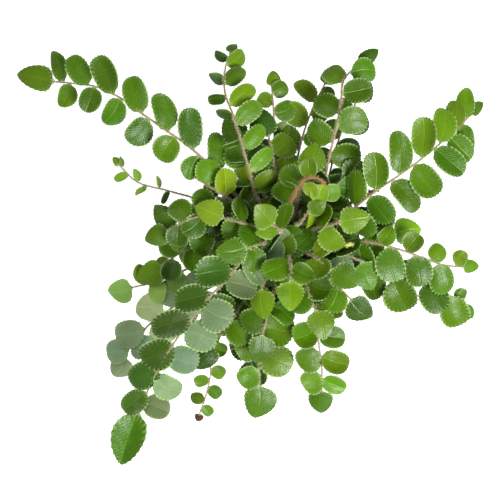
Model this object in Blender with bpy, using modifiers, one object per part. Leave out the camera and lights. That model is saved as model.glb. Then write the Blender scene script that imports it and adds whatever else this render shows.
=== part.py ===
"""Potted button fern.

A plain plastic nursery pot, the potting soil that fills it, and the fern that grows in it: long arching fronds
with round, leathery leaflets set alternately along thin stalks, a dense middle of shorter fronds, and a few young
fronds that are still coiled (croziers).

Metres, +Z up. The origin is the middle of the pot's flat base.
"""
import math
import random

import bmesh
import bpy
from mathutils import Matrix, Vector
from mathutils.bvhtree import BVHTree
from mathutils.geometry import interpolate_bezier

# Pot
POT_HEIGHT = 0.080
RIM_RADIUS = 0.0465
LIP_RADIUS = 0.0475
LIP_DEPTH = 0.0025
RIM_FOOT = 0.0690
NECK_RADIUS = 0.0445
BASE_RADIUS = 0.0330
BASE_EDGE = 0.0015
POT_WALL = 0.0016
POT_FLOOR = 0.0020
ROUND_SIDES = 28
DRAIN_HOLES = 4
DRAIN_RADIUS = 0.0035
DRAIN_CIRCLE = 0.0210
DRAIN_SIDES = 8
MERGE = 0.00001

# Soil
CLEARANCE = 0.0003
SOIL_EDGE = 0.0685
SOIL_TOP = 0.0720
SOIL_SLOPE = 0.0080
STEM_HOLE_DEPTH = 0.0080
STEM_HOLE_RADIUS = 0.0018
STEM_HOLE_SIDES = 4

# Stalks
STALK_RADIUS = 0.0009
STALK_TIP_RADIUS = 0.0007
STALK_STEP = 0.0170
STALK_ROOM = 0.0005
COLLAR = 0.0030
FOOT_LEAN = 0.0001
FOOT_DEPTH = SOIL_TOP - STEM_HOLE_DEPTH + CLEARANCE
CURVE_STEPS = 16

# How far a stalk is turned round its foot, in degrees, where it would touch another: the first way that is clear.
STALK_TURNS = [0, 3, -3, 6, -6, 9, -9, 12, -12, 16, -16, 20, -20, 26, -26, 34, -34, 44, -44, 60, -60]

# Leaflets
LEAFLET_THICKNESS = 0.0007
LEAFLET_SIDES = 8
LEAFLET_FOOT = 0.0012
LEAFLET_FOOT_WIDTH = 0.0016
LEAFLET_ROOM = 0.0003
SMALLEST_LEAFLET = 0.0045
TIP_ROOM = 0.40
FACE_UP = 0.6
FORWARD = (12, 20)
ROLL = 8
TURN_SPREAD = 8
TILT_SPREAD = 9
LIFT_RANGE = (-12, 10)
STEADY = 0.3
TIP_LEVEL = 0.5
SIZE_SPREAD = 0.06
SMALLER_AT_ENDS = 0.20

# What is tried in turn on a leaflet that would cross another: its size, and its turn and tilt in degrees.
TURNS = [
    (0, 0), (0, 14), (0, -14), (16, 0), (-16, 0), (16, 14), (-16, -14), (0, 28), (0, -28), (32, 0), (-32, 0),
    (24, -20), (-24, 20), (40, 20), (-40, -20), (0, 42), (0, -42),
]
CHANGES = [(size, turn, tilt) for size in (1.0, 0.88, 0.76, 0.64) for turn, tilt in TURNS]

# Middle of the plant
MIDDLE_FRONDS = 20
MIDDLE_SHIFT = (-0.006, -0.008)
MIDDLE_FOOT_REACH = 0.0135
MIDDLE_REACH = (0.012, 0.062)
MIDDLE_TOP = (0.176, 0.142)
MIDDLE_ROUTE = ((0.35, 0.72), (0.68, 0.97), (1.00, 0.94))
MIDDLE_LEAFLET = (0.0165, 0.0150)
MIDDLE_BARE = 0.036
MIDDLE_STEP = 0.0150
MIDDLE_OFFSET = 0.45
REACH_SPREAD = 0.005
TOP_SPREAD = 0.004
FOOT_SPACING = 0.0042
GOLDEN_ANGLE = math.radians(137.508)

# Of the leaflets in the middle, which hide one another, one in this many is left off.
LEFT_OFF = 3

# Croziers
COIL_RADIUS = 0.0036
COIL_TUBE = 0.0010
COIL_PITCH = 0.0026
COIL_TURNS = 1.3
COIL_SIDES = 9
COIL_TWIST = "MINIMUM"

# The fronds that show one by one, the uppermost first. Each has the foot of its stalk and the points that the
# stalk passes through, the bare length of the stalk, the step from one pair of leaflets to the next and how far
# the second of a pair is set off, which side starts, the length and width of the leaflets on its right and left
# and at its tip, how far those on the right lean forward and those on the left back, in degrees, and how far
# those on each side are rolled, where they stand on edge.
SHOWN_FRONDS = [
    dict(foot=(-0.0090, -0.0060), bare=0.082, step=0.0185, offset=0.45, first=1, skew=36,
         right=(0.0215, 0.0155), left=(0.0185, 0.0160), tip=(0.0330, 0.0200),
         route=[(-0.014, 0.000, 0.135), (-0.020, -0.004, 0.151), (-0.030, -0.018, 0.159), (-0.048, -0.037, 0.161),
                (-0.063, -0.057, 0.156), (-0.075, -0.076, 0.147), (-0.088, -0.104, 0.128)]),
    dict(foot=(-0.0134, 0.0125), bare=0.078, step=0.0187, offset=0.25, first=-1, skew=28,
         right=(0.0225, 0.0128), left=(0.0160, 0.0135), tip=(0.0245, 0.0150),
         route=[(-0.031, 0.026, 0.128), (-0.050, 0.047, 0.148), (-0.079, 0.068, 0.152), (-0.106, 0.086, 0.145),
                (-0.139, 0.093, 0.126)]),
    dict(foot=(0.0170, 0.0070), bare=0.082, step=0.0158, offset=0.35, first=1, skew=-18,
         right=(0.0205, 0.0140), left=(0.0225, 0.0128), tip=(0.0110, 0.0070),
         route=[(0.029, 0.010, 0.140), (0.046, 0.024, 0.158), (0.069, 0.040, 0.160), (0.087, 0.054, 0.152),
                (0.109, 0.073, 0.132)]),
    dict(foot=(0.0190, -0.0020), bare=0.062, step=0.0170, offset=0.30, first=-1, skew=0,
         right=(0.0190, 0.0150), left=(0.0120, 0.0105), tip=(0.0110, 0.0080),
         route=[(0.026, -0.003, 0.135), (0.046, -0.002, 0.151), (0.071, -0.009, 0.151), (0.092, -0.016, 0.143),
                (0.104, -0.017, 0.136)]),
    dict(foot=(0.0170, -0.0090), bare=0.066, step=0.0180, offset=0.40, first=1, skew=20,
         right=(0.0200, 0.0165), left=(0.0110, 0.0095), tip=(0.0110, 0.0080),
         route=[(0.038, -0.014, 0.122), (0.060, -0.023, 0.133), (0.084, -0.027, 0.133), (0.094, -0.032, 0.129),
                (0.105, -0.042, 0.121)]),
    dict(foot=(-0.0030, -0.0180), bare=0.060, step=0.0185, offset=0.35, first=1, skew=0,
         right=(0.0140, 0.0140), left=(0.0200, 0.0175), tip=(0.0205, 0.0190),
         route=[(-0.016, -0.024, 0.128), (-0.018, -0.042, 0.135), (-0.017, -0.063, 0.132), (-0.016, -0.089, 0.120)]),
    dict(foot=(0.0060, -0.0180), bare=0.054, step=0.0154, offset=0.20, first=1, skew=0,
         right=(0.0140, 0.0145), left=(0.0165, 0.0130), tip=(0.0165, 0.0145),
         route=[(0.016, -0.031, 0.130), (0.017, -0.055, 0.140), (0.020, -0.067, 0.136), (0.021, -0.092, 0.122)]),
    dict(foot=(0.0100, 0.0160), bare=0.070, step=0.0185, offset=0.45, first=1, skew=0,
         right=(0.0165, 0.0140), left=(0.0150, 0.0135), tip=(0.0150, 0.0090),
         route=[(0.021, 0.030, 0.134), (0.024, 0.048, 0.150), (0.030, 0.074, 0.152), (0.033, 0.093, 0.143),
                (0.043, 0.102, 0.136)]),
    dict(foot=(-0.0090, 0.0165), bare=0.072, step=0.0135, offset=0.40, first=1, skew=8, roll=(0, 62),
         right=(0.0175, 0.0095), left=(0.0100, 0.0095), tip=(0.0085, 0.0065),
         route=[(-0.018, 0.024, 0.132), (-0.022, 0.038, 0.150), (-0.030, 0.066, 0.156), (-0.037, 0.089, 0.148),
                (-0.033, 0.110, 0.132)]),
    dict(foot=(-0.0140, -0.0160), bare=0.050, step=0.0160, offset=0.45, first=1, skew=25,
         right=(0.0175, 0.0160), left=(0.0150, 0.0150), tip=(0.0155, 0.0140),
         route=[(-0.050, -0.032, 0.104), (-0.075, -0.046, 0.114), (-0.090, -0.060, 0.111), (-0.099, -0.073, 0.103)]),
    dict(foot=(0.0035, 0.0185), bare=0.056, step=0.0150, offset=0.45, first=-1, skew=0,
         right=(0.0105, 0.0090), left=(0.0165, 0.0115), tip=(0.0115, 0.0095),
         route=[(0.006, 0.043, 0.125), (0.008, 0.056, 0.135), (0.015, 0.076, 0.135), (0.023, 0.092, 0.128)]),
    dict(foot=(-0.0030, 0.0185), bare=0.062, step=0.0140, offset=0.45, first=1, skew=0,
         right=(0.0120, 0.0100), left=(0.0105, 0.0090), tip=(0.0095, 0.0080),
         route=[(-0.007, 0.056, 0.130), (-0.008, 0.070, 0.141), (-0.008, 0.082, 0.139), (-0.009, 0.090, 0.134)]),
    dict(foot=(0.0135, 0.0120), bare=0.060, step=0.0150, offset=0.45, first=1, skew=0,
         right=(0.0140, 0.0115), left=(0.0120, 0.0105), tip=(0.0175, 0.0150),
         route=[(0.026, 0.038, 0.122), (0.030, 0.058, 0.130), (0.036, 0.071, 0.130), (0.042, 0.082, 0.126)]),
    dict(foot=(-0.0190, 0.0010), bare=0.056, step=0.0140, offset=0.45, first=1, skew=0,
         right=(0.0145, 0.0130), left=(0.0145, 0.0130), tip=(0.0145, 0.0125),
         route=[(-0.030, 0.013, 0.135), (-0.045, 0.014, 0.150), (-0.056, 0.011, 0.152), (-0.070, 0.004, 0.145)]),
    dict(foot=(-0.0200, -0.0050), bare=0.046, step=0.0150, offset=0.45, first=1, skew=0,
         right=(0.0140, 0.0125), left=(0.0140, 0.0125), tip=(0.0165, 0.0145),
         route=[(-0.043, -0.001, 0.118), (-0.060, -0.007, 0.128), (-0.075, -0.017, 0.122)]),
    dict(foot=(-0.0180, -0.0110), bare=0.048, step=0.0150, offset=0.45, first=-1, skew=0,
         right=(0.0130, 0.0110), left=(0.0130, 0.0110), tip=(0.0165, 0.0145),
         route=[(-0.052, -0.015, 0.105), (-0.073, -0.025, 0.116), (-0.087, -0.028, 0.115), (-0.094, -0.030, 0.111)]),
    dict(foot=(-0.0085, -0.0190), bare=0.060, step=0.0140, offset=0.45, first=1, skew=0,
         right=(0.0095, 0.0078), left=(0.0095, 0.0078), tip=(0.0065, 0.0055),
         route=[(-0.036, -0.040, 0.108), (-0.045, -0.064, 0.118), (-0.046, -0.086, 0.112), (-0.053, -0.109, 0.098)]),
    dict(foot=(-0.0170, 0.0070), bare=0.086, step=0.0140, offset=0.45, first=-1, skew=0, roll=(45, 45),
         right=(0.0075, 0.0055), left=(0.0090, 0.0060), tip=(0.0065, 0.0050),
         route=[(-0.043, 0.020, 0.118), (-0.066, 0.027, 0.130), (-0.088, 0.033, 0.130), (-0.100, 0.044, 0.124)]),
    dict(foot=(-0.0040, 0.0075), bare=0.104, step=0.0150, offset=0.45, first=1, skew=0,
         right=(0.0110, 0.0095), left=(0.0110, 0.0095), tip=(0.0130, 0.0115),
         route=[(-0.003, 0.010, 0.128), (0.001, 0.020, 0.154), (0.008, 0.030, 0.169), (0.016, 0.037, 0.174),
                (0.020, 0.029, 0.167), (0.016, 0.017, 0.157)]),
    dict(foot=(0.0015, -0.0135), bare=0.044, step=0.0150, offset=0.45, first=1, skew=0,
         right=(0.0155, 0.0145), left=(0.0155, 0.0145), tip=(0.0160, 0.0150),
         route=[(-0.016, -0.034, 0.105), (-0.026, -0.054, 0.115), (-0.029, -0.070, 0.109)]),
]

# Young fronds that are still coiled: the foot of the stalk and where its coil sits.
CROZIERS = [
    dict(name="crozier_1", foot=(0.0130, -0.0045), route=[(0.022, -0.005, 0.125), (0.031, -0.004, 0.156)]),
    dict(name="crozier_2", foot=(0.0080, -0.0120), route=[(0.010, -0.022, 0.110), (0.013, -0.034, 0.136)]),
    dict(name="crozier_3", foot=(-0.0140, -0.0020), route=[(-0.032, -0.001, 0.115), (-0.054, -0.003, 0.136)]),
    dict(name="crozier_4", foot=(0.0110, 0.0060), route=[(0.030, 0.014, 0.112), (0.050, 0.022, 0.134)]),
]

MATERIALS = {
    "pot": dict(colour=(0.018, 0.019, 0.020), roughness=0.55),
    "soil": dict(colour=(0.035, 0.022, 0.014), roughness=0.95),
    "leaf": dict(colour=(0.085, 0.190, 0.012), roughness=0.40),
    "young": dict(colour=(0.300, 0.400, 0.060), roughness=0.50),
}


def clear_scene():
    for item in list(bpy.data.objects):
        bpy.data.objects.remove(item, do_unlink=True)


def make_material(name, colour, roughness):
    material = bpy.data.materials.new(name)
    material.use_nodes = True
    shader = material.node_tree.nodes["Principled BSDF"]
    shader.inputs["Base Color"].default_value = (*colour, 1)
    shader.inputs["Roughness"].default_value = roughness
    shader.inputs["Metallic"].default_value = 0
    return material


def new_object(name, mesh, collection, material=None):
    piece = bpy.data.objects.new(name, mesh)
    collection.objects.link(piece)
    if material:
        mesh.materials.append(material)
    return piece


def mesh_from(shape, name):
    mesh = bpy.data.meshes.new(name)
    shape.to_mesh(mesh)
    shape.free()
    return mesh


def applied(piece):
    """The mesh of a piece after its modifiers."""
    graph = bpy.context.evaluated_depsgraph_get()
    return bpy.data.meshes.new_from_object(piece.evaluated_get(graph))


def cutter(name, mesh, collection):
    piece = new_object(name, mesh, collection)
    piece.hide_render = True
    piece.display_type = "WIRE"
    return piece


def cut_with(piece, cutters):
    """Cuts every shape in a collection out of a piece."""
    cut = piece.modifiers.new("holes", "BOOLEAN")
    cut.operation = "DIFFERENCE"
    cut.operand_type = "COLLECTION"
    cut.collection = cutters
    cut.solver = "EXACT"


def upright_cylinder(radius, sides, low, high, place):
    shape = bmesh.new()
    bmesh.ops.create_cone(shape, cap_ends=True, segments=sides, radius1=radius, radius2=radius, depth=high - low)
    bmesh.ops.translate(shape, verts=shape.verts, vec=(place[0], place[1], (low + high) / 2))
    return mesh_from(shape, "cylinder")


def inner_radius(height):
    """The inside of the pot's tapered wall, below its rim."""
    slope = (NECK_RADIUS - BASE_RADIUS) / RIM_FOOT
    return BASE_RADIUS - POT_WALL + slope * height


def make_pot(collection, cutters, material):
    """One turned wall: inside from the middle of the floor up, over the lip, and down the outside."""
    profile = [
        (0, POT_FLOOR),
        (inner_radius(POT_FLOOR), POT_FLOOR),
        (inner_radius(RIM_FOOT), RIM_FOOT),
        (RIM_RADIUS - POT_WALL, RIM_FOOT + POT_WALL),
        (RIM_RADIUS - POT_WALL, POT_HEIGHT),
        (LIP_RADIUS, POT_HEIGHT),
        (LIP_RADIUS, POT_HEIGHT - LIP_DEPTH),
        (RIM_RADIUS, POT_HEIGHT - LIP_DEPTH),
        (RIM_RADIUS, RIM_FOOT),
        (NECK_RADIUS, RIM_FOOT),
        (BASE_RADIUS, BASE_EDGE),
        (BASE_RADIUS - BASE_EDGE, 0),
        (0, 0),
    ]
    mesh = bpy.data.meshes.new("pot")
    points = [(radius, 0, height) for radius, height in profile]
    mesh.from_pydata(points, [(i, i + 1) for i in range(len(points) - 1)], [])
    pot = new_object("pot", mesh, collection, material)
    turn = pot.modifiers.new("turn", "SCREW")
    turn.steps = ROUND_SIDES
    turn.render_steps = ROUND_SIDES
    turn.use_merge_vertices = True
    turn.merge_threshold = MERGE
    holes = bpy.data.collections.new("drain holes")
    cutters.children.link(holes)
    for number in range(DRAIN_HOLES):
        angle = math.tau * number / DRAIN_HOLES
        place = (DRAIN_CIRCLE * math.cos(angle), DRAIN_CIRCLE * math.sin(angle))
        mesh = upright_cylinder(DRAIN_RADIUS, DRAIN_SIDES, -POT_FLOOR, 2 * POT_FLOOR, place)
        cutter(f"drain_{number}", mesh, holes)
    cut_with(pot, holes)
    return pot


def make_soil(collection, cutters, material, feet):
    """A plug that fills the pot, a little higher in its middle, with a plain hole for each stalk."""
    low = POT_FLOOR + CLEARANCE
    shape = bmesh.new()
    bmesh.ops.create_cone(
        shape, cap_ends=True, segments=ROUND_SIDES, radius1=inner_radius(low) - CLEARANCE,
        radius2=inner_radius(SOIL_EDGE) - CLEARANCE, depth=SOIL_EDGE - low,
    )
    bmesh.ops.translate(shape, verts=shape.verts, vec=(0, 0, (low + SOIL_EDGE) / 2))
    top = max(shape.faces, key=lambda face: face.calc_center_median().z)
    bmesh.ops.inset_individual(shape, faces=[top], thickness=SOIL_SLOPE)
    bmesh.ops.translate(shape, verts=top.verts, vec=(0, 0, SOIL_TOP - SOIL_EDGE))
    soil = new_object("soil", mesh_from(shape, "soil"), collection, material)
    holes = bpy.data.collections.new("stem holes")
    cutters.children.link(holes)
    for number, foot in enumerate(feet):
        mesh = upright_cylinder(
            STEM_HOLE_RADIUS, STEM_HOLE_SIDES, SOIL_TOP - STEM_HOLE_DEPTH, SOIL_TOP + STEM_HOLE_DEPTH, foot
        )
        cutter(f"stem_hole_{number}", mesh, holes)
    cut_with(soil, holes)
    return soil


def even_points(points, count):
    """The same line, as count points that lie evenly along it."""
    gone = [0.0]
    for one, other in zip(points, points[1:]):
        gone.append(gone[-1] + (other - one).length)
    even = []
    span = 0
    for number in range(count):
        distance = gone[-1] * number / (count - 1)
        while span < len(points) - 2 and gone[span + 1] < distance:
            span += 1
        share = (distance - gone[span]) / (gone[span + 1] - gone[span])
        even.append(points[span].lerp(points[span + 1], share))
    return even


def line_length(points):
    return sum((other - one).length for one, other in zip(points, points[1:]))


def stalk_line(foot, route):
    """The smooth line that a stalk follows: straight up out of the soil, then through each point of its route."""
    knots = [Vector((*foot, SOIL_TOP + COLLAR))] + [Vector(point) for point in route]
    headings = [Vector((0, 0, 1))]
    headings += [(after - before).normalized() for before, after in zip(knots, knots[2:])]
    headings.append((knots[-1] - knots[-2]).normalized())
    fine = []
    for number, (knot, after) in enumerate(zip(knots, knots[1:])):
        reach = (after - knot).length / 3
        leave = knot + headings[number] * reach
        arrive = after - headings[number + 1] * reach
        fine += interpolate_bezier(knot, leave, arrive, after, CURVE_STEPS)[:-1]
    fine.append(knots[-1])
    spans = max(4, round(line_length(fine) / STALK_STEP))
    toward = (knots[-1] - knots[0]).xy.normalized() * FOOT_LEAN
    return [Vector((*(knots[0].xy - toward), FOOT_DEPTH))] + even_points(fine, spans + 1)


def point_along(points, distance):
    """The place and the heading at a distance along a line, with the heading turning smoothly past its corners."""
    headings = [(points[1] - points[0]).normalized()]
    headings += [(after - before).normalized() for before, after in zip(points, points[2:])]
    headings.append((points[-1] - points[-2]).normalized())
    for number, (one, other) in enumerate(zip(points, points[1:])):
        length = (other - one).length
        if distance <= length:
            share = distance / length
            return one.lerp(other, share), headings[number].lerp(headings[number + 1], share).normalized()
        distance -= length
    return points[-1], headings[-1]


def turned(route, foot, degrees):
    """A route turned round its foot, seen from above."""
    turn = Matrix.Rotation(math.radians(degrees), 3, "Z")
    middle = Vector((*foot, 0))
    return [turn @ (Vector(point) - middle) + middle for point in route]


def tube_mesh(points, start_radius, end_radius, room=0.0, twist="Z_UP"):
    """A thin four-sided tube along a line, with its ends closed and flat sides to its left and right."""
    curve = bpy.data.curves.new("tube", "CURVE")
    curve.dimensions = "3D"
    curve.twist_mode = twist
    curve.bevel_depth = 1
    curve.bevel_resolution = 0
    curve.use_fill_caps = True
    spline = curve.splines.new("POLY")
    spline.points.add(len(points) - 1)
    for number, (knot, point) in enumerate(zip(spline.points, points)):
        share = number / (len(points) - 1)
        knot.co = (*point, 1)
        knot.radius = start_radius + (end_radius - start_radius) * share + room
        knot.tilt = math.radians(45)
    holder = bpy.data.objects.new("tube", curve)
    bpy.context.scene.collection.objects.link(holder)
    bpy.context.view_layer.update()
    mesh = applied(holder)
    bpy.data.objects.remove(holder, do_unlink=True)
    shape = bmesh.new()
    shape.from_mesh(mesh)
    bmesh.ops.remove_doubles(shape, verts=shape.verts, dist=MERGE)
    shape.to_mesh(mesh)
    shape.free()
    return mesh


def leaflet_shape(length, width, thickness):
    """A flat, round blade along +Y that narrows to a short foot, as a closed solid."""
    shape = bmesh.new()
    bmesh.ops.create_circle(shape, cap_ends=True, segments=LEAFLET_SIDES, radius=0.5)
    bmesh.ops.rotate(shape, verts=shape.verts, matrix=Matrix.Rotation(math.pi / LEAFLET_SIDES, 3, "Z"))
    reach = math.cos(math.pi / LEAFLET_SIDES)
    for vertex in shape.verts:
        along = 0.5 + vertex.co.y / reach
        at_foot = along < 0.01
        vertex.co.x *= LEAFLET_FOOT_WIDTH if at_foot else width / reach
        vertex.co.y = 0 if at_foot else LEAFLET_FOOT + along * (length - LEAFLET_FOOT)
    blade = bmesh.ops.extrude_face_region(shape, geom=shape.faces[:])["geom"]
    raised = [item for item in blade if isinstance(item, bmesh.types.BMVert)]
    bmesh.ops.translate(shape, verts=raised, vec=(0, 0, thickness))
    bmesh.ops.translate(shape, verts=shape.verts, vec=(0, 0, -thickness / 2))
    bmesh.ops.recalc_face_normals(shape, faces=shape.faces)
    return shape


def leaflet_tree(leaf, room):
    """The space that a leaflet fills, with room on both faces, to test what it would cross."""
    shape = leaflet_shape(leaf["length"] + 2 * room, leaf["width"] + 2 * room, LEAFLET_THICKNESS + 2 * room)
    shape.transform(leaf["place"])
    tree = BVHTree.FromBMesh(shape)
    shape.free()
    return tree


def leaflet_place(point, across, up, turn, tilt, lift):
    """Where a leaflet sits: it points across, turned forward, and is tilted about its own middle line."""
    along = Matrix.Rotation(turn, 3, up) @ across
    hinge = along.cross(up).normalized()
    along = Matrix.Rotation(lift, 3, hinge) @ along
    facing = hinge.cross(along).normalized()
    facing = Matrix.Rotation(tilt, 3, along) @ facing
    sideways = along.cross(facing).normalized()
    place = Matrix.Identity(4)
    for column, axis in enumerate((sideways, along, facing)):
        for row in range(3):
            place[row][column] = axis[row]
    place.translation = point
    return place


def frond_leaflets(frond):
    """Leaflets on the right and the left of the stalk in pairs, the second set off a little, and one at its tip."""
    draw = random.Random(frond["seed"])
    line = frond["line"]
    heading = (line[-1] - line[0]).xy.normalized().to_3d()
    total = line_length(line)
    start = frond["bare"] + STEM_HOLE_DEPTH
    last = total - TIP_ROOM * frond["tip"][1]
    stations = []
    pair = 0
    while start + pair * frond["step"] < last:
        here = start + pair * frond["step"] * draw.uniform(0.98, 1.02)
        stations.append((here, frond["first"]))
        stations.append((here + frond["offset"] * frond["step"], -frond["first"]))
        pair += 1
    stations = [(total, 0)] + [station for station in stations if station[0] < last]
    leaves = []
    for number, (distance, side) in enumerate(stations):
        point, ahead = point_along(line, distance)
        flat = Vector((ahead.x, ahead.y, 0)) + STEADY * heading
        right = flat.cross(Vector((0, 0, 1))).normalized()
        up = right.cross(ahead).normalized()
        up = (up + Vector((0, 0, FACE_UP))).normalized()
        share = (distance - start) / (total - start)
        if side:
            full = 1 - SMALLER_AT_ENDS * (1 - math.sin(math.pi * (0.15 + 0.85 * share)))
            shape = frond["right"] if side > 0 else frond["left"]
            length, width = (full * draw.uniform(1 - SIZE_SPREAD, 1 + SIZE_SPREAD) * size for size in shape)
            across = right * side
            lean = FORWARD[0] + FORWARD[1] * share + side * frond["skew"]
            turn = side * math.radians(lean + draw.uniform(-TURN_SPREAD, TURN_SPREAD))
        else:
            length, width = frond["tip"]
            across = (ahead - Vector((0, 0, TIP_LEVEL * ahead.z))).normalized()
            point = point - ahead * LEAFLET_FOOT
            turn = math.radians(draw.uniform(-TURN_SPREAD, TURN_SPREAD))
        up = (up - across * up.dot(across)).normalized()
        roll = side * frond.get("roll", (0, 0))[0 if side > 0 else 1]
        tilt = math.radians(draw.gauss(side * ROLL + roll, TILT_SPREAD))
        lift = math.radians(draw.uniform(*LIFT_RANGE))
        place = leaflet_place(point, across, up, turn, tilt, lift)
        leaves.append(dict(place=place, length=length, width=width, number=number))
    return leaves


def middle_fronds(feet):
    """Shorter fronds in a spiral, tallest in the middle, that fill the plant between the long ones."""
    fronds = []
    for number in range(1, 10 * MIDDLE_FRONDS):
        share = (len(fronds) + 0.5) / MIDDLE_FRONDS
        bearing = number * GOLDEN_ANGLE
        toward = Vector((math.cos(bearing), math.sin(bearing)))
        foot = toward * MIDDLE_FOOT_REACH * math.sqrt(share)
        if share > 1 or any((foot - Vector(other)).length < FOOT_SPACING for other in feet):
            continue
        feet.append(tuple(foot))
        draw = random.Random(number)
        reach = MIDDLE_REACH[0] + (MIDDLE_REACH[1] - MIDDLE_REACH[0]) * share
        top = MIDDLE_TOP[0] + (MIDDLE_TOP[1] - MIDDLE_TOP[0]) * share
        reach += draw.uniform(-REACH_SPREAD, REACH_SPREAD)
        top += draw.uniform(-TOP_SPREAD, TOP_SPREAD)
        shift = Vector(MIDDLE_SHIFT) * share
        route = []
        for out, high in MIDDLE_ROUTE:
            place = foot + (toward * reach + shift) * out
            route.append((place.x, place.y, SOIL_TOP + (top - SOIL_TOP) * high))
        fronds.append(dict(
            foot=tuple(foot), route=route, bare=MIDDLE_BARE, step=MIDDLE_STEP, offset=MIDDLE_OFFSET,
            first=draw.choice((-1, 1)), skew=0,
            right=MIDDLE_LEAFLET, left=MIDDLE_LEAFLET, tip=MIDDLE_LEAFLET,
        ))
    return fronds


def settle_stalks(plants):
    """Each stalk's line, turned a few degrees round its foot where it would touch one that stands already."""
    standing = []
    for frond in plants:
        for degrees in STALK_TURNS:
            route = turned(frond["route"], frond["foot"], degrees)
            coiled = frond in CROZIERS
            line = crozier_line(frond, route) if coiled else stalk_line(frond["foot"], route)
            end = COIL_TUBE if coiled else STALK_TIP_RADIUS
            mesh = tube_mesh(line, STALK_RADIUS, end, STALK_ROOM, COIL_TWIST if coiled else "Z_UP")
            tree = tree_of(mesh)
            if not any(tree.overlap(other) for other in standing):
                break
        else:
            print("no clear way for", frond["name"])
        frond["line"] = line
        frond["tree"] = tree
        standing.append(tree)


def tree_of(mesh):
    shape = bmesh.new()
    shape.from_mesh(mesh)
    tree = BVHTree.FromBMesh(shape)
    shape.free()
    bpy.data.meshes.remove(mesh)
    return tree


def settle_leaflets(fronds, plants):
    """Turns, tilts or shrinks each leaflet until it is clear of all but its own frond, and else leaves it off."""
    placed = []
    for frond in fronds:
        frond["leaves"] = []
        stalks = [plant["tree"] for plant in plants if plant is not frond]
        for leaf in frond_leaflets(frond):
            spare = found = None
            for size, turn, tilt in CHANGES:
                trial = dict(leaf, length=leaf["length"] * size, width=leaf["width"] * size)
                change = Matrix.Rotation(math.radians(turn), 4, "Z") @ Matrix.Rotation(math.radians(tilt), 4, "Y")
                trial["place"] = leaf["place"] @ change
                if trial["length"] < SMALLEST_LEAFLET:
                    continue
                centre = trial["place"] @ Vector((0, trial["length"] / 2, 0))
                tree = leaflet_tree(trial, LEAFLET_ROOM)
                reach = trial["length"] / 2 + LEAFLET_FOOT
                near = [other for other in placed if (other[1] - centre).length < other[2] + reach]
                if any(tree.overlap(other[3]) for other in near if other[0] != frond["name"]):
                    continue
                if any(tree.overlap(stalk) for stalk in stalks):
                    continue
                found = (trial, centre, reach, tree)
                if not any(tree.overlap(other[3]) for other in near):
                    break
                spare = spare or found
            else:
                found = spare
            if found:
                frond["leaves"].append(found[0])
                placed.append((frond["name"], *found[1:]))


def joined(name, stalk, leaves, collection, material):
    """One solid: the stalk with every leaflet of its frond sunk into it."""
    frond = new_object(name, stalk, collection, material)
    if not leaves:
        return frond
    blades = bpy.data.collections.new(name + " leaflets")
    bpy.context.scene.collection.children.link(blades)
    for number, leaf in enumerate(leaves):
        shape = leaflet_shape(leaf["length"], leaf["width"], LEAFLET_THICKNESS)
        shape.transform(leaf["place"])
        new_object(f"{name}_leaflet_{number}", mesh_from(shape, "leaflet"), blades)
    union = frond.modifiers.new("leaflets", "BOOLEAN")
    union.operation = "UNION"
    union.operand_type = "COLLECTION"
    union.collection = blades
    union.solver = "EXACT"
    bpy.context.view_layer.update()
    whole = applied(frond)
    frond.modifiers.clear()
    frond.data = whole
    for blade in list(blades.objects):
        bpy.data.objects.remove(blade, do_unlink=True)
    bpy.data.collections.remove(blades)
    return frond


def crozier_line(crozier, route):
    """A stalk that rises to its coil, and the coil's turns in an upright plane."""
    line = stalk_line(crozier["foot"], route)
    outward = (line[-1] - line[0]).xy.normalized().to_3d()
    top = line[-1]
    centre = top + outward * COIL_RADIUS
    coil = []
    steps = round(COIL_TURNS * COIL_SIDES)
    for number in range(1, steps + 1):
        angle = math.pi - math.tau * COIL_TURNS * number / steps
        radius = COIL_RADIUS - COIL_PITCH * COIL_TURNS * number / steps
        coil.append(centre + outward * radius * math.cos(angle) + Vector((0, 0, radius * math.sin(angle))))
    return line + coil


def build():
    clear_scene()
    fern = bpy.data.collections.new("potted button fern")
    cutters = bpy.data.collections.new("cutters")
    for collection in (fern, cutters):
        bpy.context.scene.collection.children.link(collection)
    looks = {name: make_material(name, **look) for name, look in MATERIALS.items()}
    make_pot(fern, cutters, looks["pot"])

    feet = [plant["foot"] for plant in SHOWN_FRONDS + CROZIERS]
    fronds = SHOWN_FRONDS + middle_fronds(feet)
    for number, frond in enumerate(fronds, 1):
        frond["name"] = f"frond_{number:02d}"
        frond["seed"] = number
    plants = SHOWN_FRONDS + CROZIERS + fronds[len(SHOWN_FRONDS):]
    settle_stalks(plants)
    settle_leaflets(fronds, plants)
    for crozier in CROZIERS:
        tube = tube_mesh(crozier["line"], STALK_RADIUS, COIL_TUBE, twist=COIL_TWIST)
        young = new_object(crozier["name"], tube, fern, looks["young"])
        young.modifiers.new("split", "TRIANGULATE")
    for frond in fronds:
        stalk = tube_mesh(frond["line"], STALK_RADIUS, STALK_TIP_RADIUS)
        leaves = [leaf for leaf in frond["leaves"] if frond in SHOWN_FRONDS or leaf["number"] % LEFT_OFF != 1]
        joined(frond["name"], stalk, leaves, fern, looks["leaf"])
    make_soil(fern, cutters, looks["soil"], feet)
    return fronds


FRONDS = build()
print("leaflets:", sum(len(frond["leaves"]) for frond in FRONDS))
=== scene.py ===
"""The looks of a potted button fern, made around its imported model.

The sections follow the plant as it is put together: the pot, the soil that fills it, where the fronds
stand, their leaflets, their hairy stalks and the young coiled fronds. The floor, the lights and the camera
come last.
"""
import math
import random

import bmesh
import bpy
import numpy as np
from mathutils import Matrix, Vector, noise
from mathutils.bvhtree import BVHTree
from mathutils.geometry import interpolate_bezier


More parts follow.
